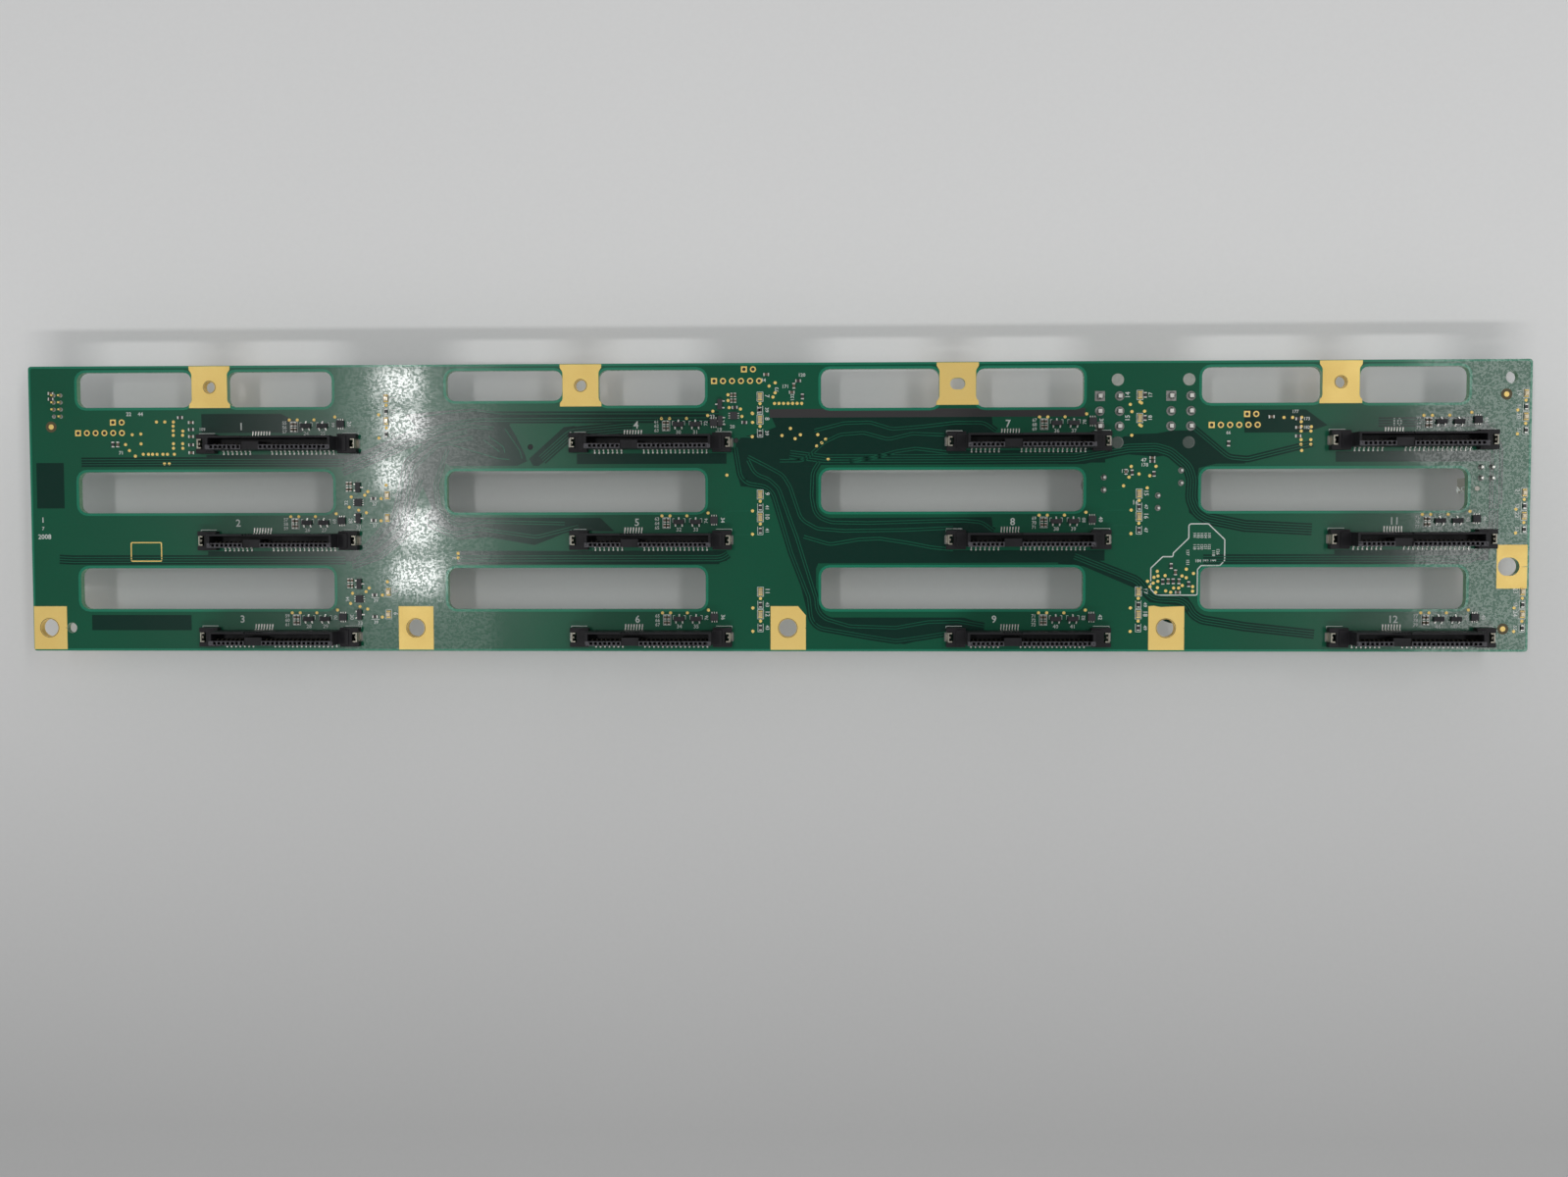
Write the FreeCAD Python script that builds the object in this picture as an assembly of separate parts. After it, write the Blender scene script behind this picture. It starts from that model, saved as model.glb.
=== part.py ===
import FreeCAD, Part
import math
import os

# Drive backplane board: a windowed circuit board that carries twelve vertical drive sockets
# on its front face and its cable ports, power headers and capacitors on its rear face.
#
# Frame: millimetres. +X runs along the board, +Y towards the edge with the four tabs, and
# +Z out of the face with the drive sockets. The origin lies on the rear face, midway
# between the outer two tab holes.

# ---------------------------------------------------------------- driving dimensions

# Circuit board
board_length = 424.0
board_width = 81.4
board_thickness = 2.0
board_corner_radius = 0.8

# Drive bays: four columns of three sockets
bay_columns = 4
bay_rows = 3
bay_overrun = 1.4               # four bay pitches are longer than the board by this much
column_pitch = (board_length + bay_overrun) / bay_columns
row_pitch = 27.5
socket_offset = 19.8            # socket centre, to the right of its column's tab hole
first_row_drop = 19.3           # tab hole line down to the first row's contact foot line

# Tabs along the upper edge, one over each column
tab_edge_distance = 6.1         # upper edge of the board up from the tab hole line
tab_width = 10.4
tab_hole_diameter = 3.3
tab_slot_travel = 1.0           # the third tab hole is a slot, longer by this much

# Airflow windows
window_bridge = 32.75           # board left between the windows of two columns
window_length = column_pitch - window_bridge
window_centre_offset = -21.35   # window centre from the socket centre
window_height = 11.7
window_drop = 4.8               # a row's foot line down to the window under it
window_corner_radius = 2.4
corner_chords = 4               # chords in each rounded corner
upper_window_margin = 1.85      # upper edge of the board to the upper windows
upper_window_heights = (9.95, 9.95, 8.5, 9.95, 10.9, 10.9, 9.95, 10.1)

# Fixing holes along the lower edge and at the right-hand end
lower_hole_diameter = 5.2
lower_hole_end_distance = 4.675 # first hole centre from the left-hand edge
lower_hole_edge_distance = 6.6
end_hole_travel = 0.8
end_hole_edge_distance = 5.6    # from the right-hand edge
end_hole_height = 23.8          # above the lower edge

# Tooling holes
tooling_hole_diameter = 3.0
tooling_hole_spacing = 6.5      # from the first lower fixing hole
upper_tooling_diameter = 3.4
upper_tooling_edge_distance = 5.0

# Drive socket contacts
contact_pitch = 1.27
signal_contacts = 7
power_contacts = 15
key_gap_places = 4              # contact places left empty between the two groups
contact_span = (signal_contacts + key_gap_places + power_contacts - 1) * contact_pitch
rear_contact_pitch = 0.8
foot_width = 0.45
rear_foot_width = 0.36
foot_rise = 0.6                 # height of a foot where it leaves the body wall
rear_foot_reach = 1.8

# Drive socket housing
body_end_margin = 1.725         # last contact to the end of the body
ear_length = 5.35
ear_width = 5.45
ear_height = 2.6
body_length = contact_span + 2 * body_end_margin
socket_length = body_length + 2 * ear_length
body_width = 3.84
body_height = 9.15
body_foot_gap = 1.17            # contact foot line to the body wall
slot_end_wall = 0.7
slot_length = body_length - 2 * slot_end_wall
slot_width = 1.92
slot_depth = 6.2
slot_wall = 0.59                # upper wall of the body, beside the slot
bridge_length = 4.9             # stretch of the slot that is narrowed to a step
bridge_centre = -5.08           # from the socket centre
bridge_slot_width = 0.95

# Hold-down clips in the ears
clip_sheet = 0.3
clip_width = 2.8
clip_inset = 1.9                # clip plate in from the end of the ear
clip_clearance = 0.05

# Power headers (two), auxiliary header and signal header, all on the rear face
power_header_column = 2         # column that the headers stand beside
power_header_offset = 7.175     # first header centre from the end of that column's windows
power_header_spacing = 19.8
power_header_drop = 7.85        # header centre below the tab hole line
power_header_rows = 3
power_pin_pitch = 4.2
power_row_spacing = 5.5
power_pin_size = 1.07
power_header_width = 9.6
power_header_end_wall = 2.7     # last pin centre to the end of the housing
power_header_height = 12.8
power_header_floor = 3.0
power_cell_size = 3.3
power_peg_diameter = 3.0
power_peg_offset_x = 2.2
power_peg_reach = 4.55          # last pin centre to the peg centre
power_peg_ear = 2.1             # half width of the ear that carries the peg
latch_depth = 1.4
latch_width = 3.2
latch_height = 2.0
latch_rim_distance = 3.5

aux_header_edge_distance = 12.2
aux_header_drop = 25.3
aux_pin_pitch = 3.0
aux_pin_size = 0.64
aux_header_width = 8.0
aux_header_length = 10.8
aux_header_height = 9.0
aux_header_shift = 0.65         # housing centre from the pin centre
aux_wall = 0.9
aux_peg_diameter = 1.4
aux_peg_offset_x = -2.4
aux_peg_offset_y = 4.43

signal_header_edge_distance = 8.25
signal_header_drop = 5.15
signal_header_rows = 4
signal_pin_pitch = 2.0
signal_pin_size = 0.5
signal_header_wall = 0.7
signal_header_width = 5.5
signal_header_length = 10.6
signal_header_height = 6.0

header_floor = 1.6
pin_stand = 1.3                 # pin tips above the front face
pin_tip_inset = 1.2             # pin ends below the rim of the shroud
peg_clearance = 0.1             # radial, between a peg and its hole
peg_sides = 12
small_peg_sides = 8

# Cable ports on the rear face
port_centres_x = (-76.6, -0.2, 18.1)
port_peg_spacings = (18.0, 18.0, 10.1)
port_drop = 16.5
port_peg_skew = 1.6
port_peg_diameter = 1.4
port_end_margin = 1.9           # peg centre to the end of the shell
port_width = 6.6
port_height = 8.6
port_sheet = 0.3
port_slot_end = 2.6             # slot end in from the end of the shell
port_slot_width = 1.8
port_slot_depth = 5.6
port_recess = 0.6               # moulding below the rim of the shell

# Capacitors on the rear face
capacitor_diameter = 8.0
capacitor_height = 12.0
can_sides = 24
capacitor_lead_spacing = 3.5
capacitor_lead_size = 0.6
# places of the cans, from the end of the windows beside the headers and the tab hole line
capacitor_offsets = ((5.675, -28.1), (27.175, -26.2), (20.775, -33.2))

# Small parts beside each socket, placed from the socket centre and foot line
transistor_length = 3.0
transistor_width = 1.5
transistor_height = 1.0
transistor_offsets = ((7.9, 8.2), (12.7, 8.2))
ic_size = 2.2
ic_height = 0.9
ic_offset = (17.9, 8.7)
led_length = 2.0
led_width = 1.25
led_height = 0.8
led_bay_margin = 2.375          # light centres in from the line between two bays
led_offset_x = column_pitch / 2 - socket_offset - led_bay_margin
led_offset_y = 12.7
led_spacing = 6.4

# ---------------------------------------------------------------- derived places

board_right = board_length / 2
board_top = tab_edge_distance
board_bottom = board_top - board_width
front_face = board_thickness
lower_hole_line = board_bottom + lower_hole_edge_distance


def tab_x(column):
    return (column - (bay_columns - 1) / 2) * column_pitch


def socket_x(column):
    return tab_x(column) + socket_offset


def row_y(row):
    return -first_row_drop - row * row_pitch


def lower_hole_x(column):
    return lower_hole_end_distance - board_length / 2 + column * column_pitch


# ---------------------------------------------------------------- shape helpers

def vector(x, y, z=0.0):
    return FreeCAD.Vector(x, y, z)


def box(x0, x1, y0, y1, z0, z1):
    return Part.makeBox(x1 - x0, y1 - y0, z1 - z0, vector(x0, y0, z0))


def centred_box(x, y, length, width, z0, z1):
    return box(x - length / 2, x + length / 2, y - width / 2, y + width / 2, z0, z1)


def circle_wire(x, y, diameter):
    return Part.Wire([Part.makeCircle(diameter / 2, vector(x, y))])


def square_wire(x, y, size):
    h = size / 2
    points = [vector(x - h, y - h), vector(x + h, y - h), vector(x + h, y + h), vector(x - h, y + h)]
    return Part.makePolygon(points + points[:1])


def faceted_wire(x, y, diameter, sides):
    """Regular outline for a small peg or its hole; diameter is across the corners."""
    points = []
    for i in range(sides):
        a = 2 * math.pi * i / sides
        points.append(vector(x + diameter / 2 * math.cos(a), y + diameter / 2 * math.sin(a)))
    return Part.makePolygon(points + points[:1])


def faceted_peg(x, y, diameter, sides):
    """Locating peg through the board, flush with its front face."""
    return Part.Face(faceted_wire(x, y, diameter, sides)).extrude(vector(0, 0, front_face))


def slot_wire(x, y, diameter, travel):
    """Outline of a hole that is longer along X than it is wide, by travel."""
    r = diameter / 2
    h = travel / 2
    left_arc = Part.Arc(vector(x - h, y + r), vector(x - h - r, y), vector(x - h, y - r))
    right_arc = Part.Arc(vector(x + h, y - r), vector(x + h + r, y), vector(x + h, y + r))
    lower = Part.makeLine(vector(x - h, y - r), vector(x + h, y - r))
    upper = Part.makeLine(vector(x + h, y + r), vector(x - h, y + r))
    return Part.Wire([left_arc.toShape(), lower, right_arc.toShape(), upper])


def rounded_wire(x0, x1, y0, y1, radius):
    """Rectangle with rounded corners, each turned in a few short chords."""
    corners = ((x1 - radius, y1 - radius, 0), (x0 + radius, y1 - radius, 90),
               (x0 + radius, y0 + radius, 180), (x1 - radius, y0 + radius, 270))
    points = []
    for cx, cy, start in corners:
        for step in range(corner_chords + 1):
            a = math.radians(start + 90 * step / corner_chords)
            points.append(vector(cx + radius * math.cos(a), cy + radius * math.sin(a)))
    return Part.makePolygon(points + points[:1])


def write(name, *solids):
    shape = solids[0] if len(solids) == 1 else Part.makeCompound(list(solids))
    os.makedirs("parts", exist_ok=True)
    shape.exportStep("parts/" + name + ".step")


# ---------------------------------------------------------------- hole and pin patterns

def upper_windows():
    """Corners of the windows on each side of every tab."""
    spans = []
    top = board_top - upper_window_margin
    for column in range(bay_columns):
        centre = socket_x(column) + window_centre_offset
        sides = ((centre - window_length / 2, tab_x(column) - tab_width / 2),
                 (tab_x(column) + tab_width / 2, centre + window_length / 2))
        for side, (x0, x1) in enumerate(sides):
            height = upper_window_heights[(2 * column + side) % len(upper_window_heights)]
            spans.append((x0, x1, top - height, top))
    return spans


def row_windows():
    """Corners of the long windows under every row of sockets but the last."""
    spans = []
    for row in range(bay_rows - 1):
        top = row_y(row) - window_drop
        for column in range(bay_columns):
            centre = socket_x(column) + window_centre_offset
            x0 = centre - window_length / 2
            spans.append((x0, x0 + window_length, top - window_height, top))
    return spans


def window_end(column):
    return socket_x(column) + window_centre_offset + window_length / 2


capacitor_centres = [(window_end(power_header_column) + dx, y) for dx, y in capacitor_offsets]


def power_header_centres():
    first = window_end(power_header_column) + power_header_offset
    return [(first + i * power_header_spacing, -power_header_drop) for i in range(2)]


def power_pin_points(centre):
    x, y = centre
    points = []
    for row in range(power_header_rows):
        dy = (row - (power_header_rows - 1) / 2) * power_pin_pitch
        for side in (-1, 1):
            points.append((x + side * power_row_spacing / 2, y + dy))
    return points


def power_peg_points(centre):
    x, y = centre
    reach = (power_header_rows - 1) / 2 * power_pin_pitch + power_peg_reach
    return [(x + power_peg_offset_x, y + side * reach) for side in (-1, 1)]


aux_centre = (board_right - aux_header_edge_distance, -aux_header_drop)


def aux_pin_points():
    half = aux_pin_pitch / 2
    return [(aux_centre[0] + a * half, aux_centre[1] + b * half)
            for a in (-1, 1) for b in (-1, 1)]


def aux_peg_points():
    x, y = aux_centre
    return [(x + aux_peg_offset_x, y + side * aux_peg_offset_y) for side in (-1, 1)]


signal_centre = (signal_header_edge_distance - board_right, -signal_header_drop)


def signal_pin_points():
    """Two columns of pins; the lowest place of the left column is empty for keying."""
    points = []
    for row in range(signal_header_rows):
        dy = (row - (signal_header_rows - 1) / 2) * signal_pin_pitch
        for side in (-1, 1):
            if row == 0 and side == -1:
                continue
            points.append((signal_centre[0] + side * signal_pin_pitch / 2, signal_centre[1] + dy))
    return points


def capacitor_lead_points(centre):
    x, y = centre
    return [(x, y + side * capacitor_lead_spacing / 2) for side in (-1, 1)]


def port_peg_points(index):
    x = port_centres_x[index]
    half = port_peg_spacings[index] / 2
    return [(x - half, port_peg_skew / 2 - port_drop), (x + half, -port_peg_skew / 2 - port_drop)]


def end_hole_centre():
    return (board_right - end_hole_edge_distance, board_bottom + end_hole_height)


# ---------------------------------------------------------------- circuit board

def board_hole_wires():
    wires = [rounded_wire(*span, window_corner_radius) for span in upper_windows() + row_windows()]
    for column in range(bay_columns):
        travel = tab_slot_travel if column == 2 else 0.0
        if travel:
            wires.append(slot_wire(tab_x(column), 0.0, tab_hole_diameter, travel))
        else:
            wires.append(circle_wire(tab_x(column), 0.0, tab_hole_diameter))
        wires.append(circle_wire(lower_hole_x(column), lower_hole_line, lower_hole_diameter))
    wires.append(slot_wire(*end_hole_centre(), lower_hole_diameter, end_hole_travel))
    wires.append(circle_wire(lower_hole_x(0) + tooling_hole_spacing, lower_hole_line,
                             tooling_hole_diameter))
    wires.append(circle_wire(board_right - end_hole_edge_distance,
                             board_top - upper_tooling_edge_distance, upper_tooling_diameter))
    return wires


def peg_hole_wires():
    pegs = [(point, power_peg_diameter, peg_sides) for centre in power_header_centres()
            for point in power_peg_points(centre)]
    pegs += [(point, aux_peg_diameter, small_peg_sides) for point in aux_peg_points()]
    pegs += [(point, port_peg_diameter, small_peg_sides) for index in range(len(port_centres_x))
             for point in port_peg_points(index)]
    return [faceted_wire(*point, diameter + 2 * peg_clearance, sides)
            for point, diameter, sides in pegs]


def pin_hole_wires():
    """Each soldered pin fills its hole, so the holes are as large as the pins."""
    pins = [(point, power_pin_size) for centre in power_header_centres()
            for point in power_pin_points(centre)]
    pins += [(point, aux_pin_size) for point in aux_pin_points()]
    pins += [(point, signal_pin_size) for point in signal_pin_points()]
    pins += [(point, capacitor_lead_size) for centre in capacitor_centres
             for point in capacitor_lead_points(centre)]
    return [square_wire(*point, size) for point, size in pins]


def circuit_board():
    outline = rounded_wire(-board_right, board_right, board_bottom, board_top, board_corner_radius)
    face = Part.Face([outline] + board_hole_wires() + peg_hole_wires() + pin_hole_wires())
    return face.extrude(vector(0, 0, board_thickness))


# ---------------------------------------------------------------- drive sockets

def slot_middle():
    return body_foot_gap + body_width - slot_wall - slot_width / 2


def socket_middle():
    """Centre line of the housing, above its contact foot line."""
    return body_foot_gap + body_width / 2


def drive_socket_housing():
    """Housing about the socket centre and its contact foot line, standing on the front face."""
    z0 = front_face
    middle = socket_middle()
    top = z0 + body_height
    ears = centred_box(0.0, middle, socket_length, ear_width, z0, z0 + ear_height)
    clear_sides = []
    for side in (-1, 1):
        y_in = middle + side * body_width / 2
        y_out = middle + side * ear_width
        clear_sides.append(box(-body_length / 2, body_length / 2, min(y_in, y_out),
                               max(y_in, y_out), z0, top))
    body = centred_box(0.0, middle, body_length, body_width, z0, top)
    housing = ears.cut(clear_sides).fuse(body)
    notches = []
    for side in (-1, 1):
        inner = side * (socket_length / 2 - clip_inset - clip_clearance)
        outer = side * socket_length
        half = clip_width / 2 + clip_clearance
        notches.append(box(min(inner, outer), max(inner, outer), middle - half, middle + half, z0, top))
    return housing.cut(notches + [drive_socket_slot(top)]).removeSplitter()


def drive_socket_slot(top):
    """Slot for the drive's tongue, narrowed to a step behind the rear contacts."""
    slot_top = slot_middle() + slot_width / 2
    slot_low = slot_middle() - slot_width / 2
    step = slot_top - bridge_slot_width
    bridge_left = bridge_centre - bridge_length / 2
    bridge_right = bridge_centre + bridge_length / 2
    outline = [(-slot_length / 2, slot_low), (bridge_left, slot_low), (bridge_left, step),
               (bridge_right, step), (bridge_right, slot_low), (slot_length / 2, slot_low),
               (slot_length / 2, slot_top), (-slot_length / 2, slot_top)]
    points = [vector(x, y, top - slot_depth) for x, y in outline]
    return Part.Face(Part.makePolygon(points + points[:1])).extrude(vector(0, 0, slot_depth))


def contact_foot(x, width, wall_y, end_y):
    """Solder foot: slopes from the body wall down to its end on the board."""
    profile = [vector(x - width / 2, wall_y, front_face), vector(x - width / 2, end_y, front_face),
               vector(x - width / 2, wall_y, front_face + foot_rise)]
    return Part.Face(Part.makePolygon(profile + profile[:1])).extrude(vector(width, 0, 0))


def drive_socket_contacts():
    """Feet of the 22 front contacts and of the 7 rear contacts."""
    feet = []
    first = -contact_span / 2
    first_power = first + (signal_contacts + key_gap_places) * contact_pitch
    groups = ((first, signal_contacts), (first_power, power_contacts))
    for start, count in groups:
        for i in range(count):
            feet.append(contact_foot(start + i * contact_pitch, foot_width, body_foot_gap, 0.0))
    rear_wall = body_foot_gap + body_width
    for i in range(signal_contacts):
        x = bridge_centre + (i - (signal_contacts - 1) / 2) * rear_contact_pitch
        feet.append(contact_foot(x, rear_foot_width, rear_wall, rear_wall + rear_foot_reach))
    return feet


def hold_down_clip(side):
    """Folded sheet clip: a plate up the ear's notch and a solder tab out to the ear's end."""
    inner = socket_length / 2 - clip_inset
    outer = socket_length / 2
    profile = [(inner, 0.0), (outer, 0.0), (outer, clip_sheet), (inner + clip_sheet, clip_sheet),
               (inner + clip_sheet, ear_height), (inner, ear_height)]
    y0 = socket_middle() - clip_width / 2
    points = [vector(side * x, y0, front_face + z) for x, z in profile]
    return Part.Face(Part.makePolygon(points + points[:1])).extrude(vector(0, clip_width, 0))


def placed(shape, column, row):
    moved = shape.copy()
    moved.translate(vector(socket_x(column), row_y(row)))
    return moved


# ---------------------------------------------------------------- rear headers

def header_pins(points, size, rim):
    """Square pins from inside the shroud, through the board, to above the front face."""
    return [centred_box(x, y, size, size, rim + pin_tip_inset, front_face + pin_stand)
            for x, y in points]


def power_header_housing(centre):
    """Six-way power header: a block with one deep cell for each pin, a latch and two pegs."""
    x, y = centre
    rim = -power_header_height
    half_length = (power_header_rows - 1) / 2 * power_pin_pitch + power_header_end_wall
    housing = centred_box(x, y, power_header_width, 2 * half_length, rim, 0.0)
    for px, py in power_peg_points(centre):
        housing = housing.fuse(centred_box(px, py, 2 * power_peg_ear, 2 * power_peg_ear,
                                           -power_header_floor, 0.0))
    latch_x = x - power_header_width / 2
    latch = box(latch_x - latch_depth, latch_x, y - latch_width / 2, y + latch_width / 2,
                rim + latch_rim_distance, rim + latch_rim_distance + latch_height)
    housing = housing.fuse(latch)
    cells = []
    for px, py in power_pin_points(centre):
        cells.append(centred_box(px, py, power_cell_size, power_cell_size, rim, -power_header_floor))
        cells.append(centred_box(px, py, power_pin_size, power_pin_size, -power_header_floor, 0.0))
    housing = housing.cut(cells)
    pegs = [faceted_peg(px, py, power_peg_diameter, peg_sides) for px, py in power_peg_points(centre)]
    return housing.fuse(pegs).removeSplitter()


def open_header_housing(x, y, width, length, height, wall, pin_points, pin_size):
    """Open-topped shroud round a group of pins, with a key slot in its outer long wall."""
    rim = -height
    housing = centred_box(x, y, width, length, rim, 0.0)
    inside = centred_box(x, y, width - 2 * wall, length - 2 * wall, rim, -header_floor)
    key = centred_box(x - width / 2, y, 2 * wall, length / 4, rim, -header_floor)
    holes = [centred_box(px, py, pin_size, pin_size, -header_floor, 0.0) for px, py in pin_points]
    return housing.cut([inside, key] + holes)


def aux_header_housing():
    x = aux_centre[0] + aux_header_shift
    y = aux_centre[1]
    housing = open_header_housing(x, y, aux_header_width, aux_header_length, aux_header_height,
                                  aux_wall, aux_pin_points(), aux_pin_size)
    pegs = [faceted_peg(px, py, aux_peg_diameter, small_peg_sides) for px, py in aux_peg_points()]
    return housing.fuse(pegs).removeSplitter()


def signal_header_housing():
    return open_header_housing(*signal_centre, signal_header_width, signal_header_length,
                               signal_header_height, signal_header_wall, signal_pin_points(),
                               signal_pin_size)


# ---------------------------------------------------------------- cable ports

def port_length(index):
    return port_peg_spacings[index] + 2 * port_end_margin


def cable_port_shell(index):
    """Drawn sheet shell: an open-ended tube round the port's moulding."""
    x = port_centres_x[index]
    length = port_length(index)
    outside = centred_box(x, -port_drop, length, port_width, -port_height, 0.0)
    inside = centred_box(x, -port_drop, length - 2 * port_sheet, port_width - 2 * port_sheet,
                         -port_height, 0.0)
    return outside.cut(inside)


def cable_port_moulding(index):
    """Moulding inside the shell, with the plug slot and the two pegs into the board."""
    x = port_centres_x[index]
    length = port_length(index) - 2 * port_sheet
    rim = port_recess - port_height
    moulding = centred_box(x, -port_drop, length, port_width - 2 * port_sheet, rim, 0.0)
    slot = centred_box(x, -port_drop, port_length(index) - 2 * port_slot_end, port_slot_width,
                       rim, rim + port_slot_depth)
    pegs = [faceted_peg(px, py, port_peg_diameter, small_peg_sides)
            for px, py in port_peg_points(index)]
    return moulding.cut(slot).fuse(pegs).removeSplitter()


# ---------------------------------------------------------------- capacitors

def capacitor(centre):
    """Radial can, its round wall turned in short chords."""
    can = Part.Face(faceted_wire(*centre, capacitor_diameter, can_sides))
    return can.extrude(vector(0, 0, -capacitor_height))


def capacitor_leads(centre):
    return [centred_box(x, y, capacitor_lead_size, capacitor_lead_size, 0.0, front_face + pin_stand)
            for x, y in capacitor_lead_points(centre)]


# ---------------------------------------------------------------- small surface parts

def surface_block(x, y, length, width, height):
    return centred_box(x, y, length, width, front_face, front_face + height)


def write_small_parts():
    transistors = []
    ics = []
    lights = []
    for column in range(bay_columns):
        for row in range(bay_rows):
            x = socket_x(column)
            y = row_y(row)
            for dx, dy in transistor_offsets:
                transistors.append(surface_block(x + dx, y + dy, transistor_length,
                                                 transistor_width, transistor_height))
            ics.append(surface_block(x + ic_offset[0], y + ic_offset[1], ic_size, ic_size, ic_height))
            for side in (-1, 1):
                light_y = y + led_offset_y + side * led_spacing / 2
                lights.append(surface_block(x + led_offset_x, light_y, led_width, led_length,
                                            led_height))
    write("transistor_bodies", *transistors)
    write("small_ics", *ics)
    write("status_lights", *lights)


# ---------------------------------------------------------------- write every node

write("circuit_board", circuit_board())

housing = drive_socket_housing()
contacts = Part.makeCompound(drive_socket_contacts())
clips = []
number = 0
for column in range(bay_columns):
    for row in range(bay_rows):
        number += 1
        name = "drive_socket_%02d" % number
        write(name + "_housing", placed(housing, column, row))
        write(name + "_contacts", placed(contacts, column, row))
        clips += [placed(hold_down_clip(side), column, row) for side in (-1, 1)]
write("hold_down_clips", *clips)

for i, centre in enumerate(power_header_centres()):
    name = "power_header_%d" % (i + 1)
    write(name + "_housing", power_header_housing(centre))
    write(name + "_pins", *header_pins(power_pin_points(centre), power_pin_size,
                                       -power_header_height))
write("aux_header_housing", aux_header_housing())
write("aux_header_pins", *header_pins(aux_pin_points(), aux_pin_size, -aux_header_height))
write("signal_header_housing", signal_header_housing())
write("signal_header_pins", *header_pins(signal_pin_points(), signal_pin_size,
                                         -signal_header_height))

for index in range(len(port_centres_x)):
    name = "cable_port_%d" % (index + 1)
    write(name + "_shell", cable_port_shell(index))
    write(name + "_moulding", cable_port_moulding(index))

leads = []
for i, centre in enumerate(capacitor_centres):
    write("capacitor_%d" % (i + 1), capacitor(centre))
    leads += capacitor_leads(centre)
write("capacitor_leads", *leads)

write_small_parts()
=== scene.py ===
"""Drive backplane board: dressed model, lamps, floor and camera, laid out as an add-on."""
import math
import bmesh
import bpy
from bpy.props import FloatProperty, FloatVectorProperty, IntProperty, PointerProperty
from mathutils import Matrix, Vector


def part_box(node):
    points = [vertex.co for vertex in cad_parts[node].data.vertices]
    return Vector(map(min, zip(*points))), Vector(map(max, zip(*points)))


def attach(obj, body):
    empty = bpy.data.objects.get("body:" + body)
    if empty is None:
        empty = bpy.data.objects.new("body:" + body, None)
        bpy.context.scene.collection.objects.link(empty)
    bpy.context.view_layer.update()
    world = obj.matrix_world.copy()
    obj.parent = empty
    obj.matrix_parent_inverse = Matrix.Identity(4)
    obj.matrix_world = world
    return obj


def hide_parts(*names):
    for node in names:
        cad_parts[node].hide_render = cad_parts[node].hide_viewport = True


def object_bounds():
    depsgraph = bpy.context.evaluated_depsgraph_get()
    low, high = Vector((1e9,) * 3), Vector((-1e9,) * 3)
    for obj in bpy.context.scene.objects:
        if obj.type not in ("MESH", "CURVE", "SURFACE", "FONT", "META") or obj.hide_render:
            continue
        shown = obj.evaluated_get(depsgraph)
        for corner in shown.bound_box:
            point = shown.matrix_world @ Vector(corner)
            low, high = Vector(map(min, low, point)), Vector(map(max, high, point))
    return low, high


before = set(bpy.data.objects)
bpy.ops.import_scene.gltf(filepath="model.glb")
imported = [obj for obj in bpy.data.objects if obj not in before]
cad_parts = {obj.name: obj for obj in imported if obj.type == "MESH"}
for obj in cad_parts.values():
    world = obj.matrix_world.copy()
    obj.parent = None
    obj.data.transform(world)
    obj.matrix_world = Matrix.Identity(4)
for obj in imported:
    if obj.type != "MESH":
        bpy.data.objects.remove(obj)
CAD_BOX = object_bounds()

bl_info = {
    "name": "Drive Backplane Board",
    "version": (1, 0, 0),
    "blender": (4, 5, 0),
    "location": "View3D > Sidebar > Backplane",
    "description": "Builds the finish and small detail of a twelve-slot drive backplane board",
    "category": "Object",
}

# The board's places and sizes are in millimetres, and are turned to metres when a mesh is made.
# The floor, the lamps and the heights in the materials are in metres.
MM = 0.001
BODY = "root"

# ---------------------------------------------------------------- places taken from the frame


def low(node):
    """Lower corner of the box round a node."""
    return [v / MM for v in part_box(node)[0]]


def high(node):
    """Upper corner of the box round a node."""
    return [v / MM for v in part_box(node)[1]]


def middle(node):
    return [(a + b) / 2 for a, b in zip(low(node), high(node))]


BOARD_LEFT, BOARD_BOTTOM, REAR = low("circuit_board")
BOARD_RIGHT, BOARD_TOP, FRONT = high("circuit_board")
SLOTS = ["%02d" % n for n in range(1, 13)]
SOCKETS = {n: (middle("drive_socket_%s_housing" % n)[0], low("drive_socket_%s_contacts" % n)[1])
           for n in SLOTS}
COLUMN_PITCH = SOCKETS["04"][0] - SOCKETS["01"][0]
TAB_X = [(c - 1.5) * COLUMN_PITCH for c in range(4)]
SLOTTED_TAB = 2
LOWER_HOLE_X = [SOCKETS["01"][0] - 67.6 + c * COLUMN_PITCH for c in range(4)]
LOWER_HOLE_Y = BOARD_BOTTOM + 6.6
END_HOLE = (BOARD_RIGHT - 5.6, BOARD_BOTTOM + 23.8)
POWER_HEADERS = [middle("power_header_%d_pins" % n) for n in (1, 2)]
PEG_Y = POWER_HEADERS[0][1]

WINDOW_LENGTH, WINDOW_HEIGHT, WINDOW_DROP, WINDOW_OFFSET = 73.6, 11.7, 4.8, -21.35
UPPER_HEIGHTS = (9.95, 9.95, 8.5, 9.95, 10.9, 10.9, 9.95, 10.1)


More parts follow.
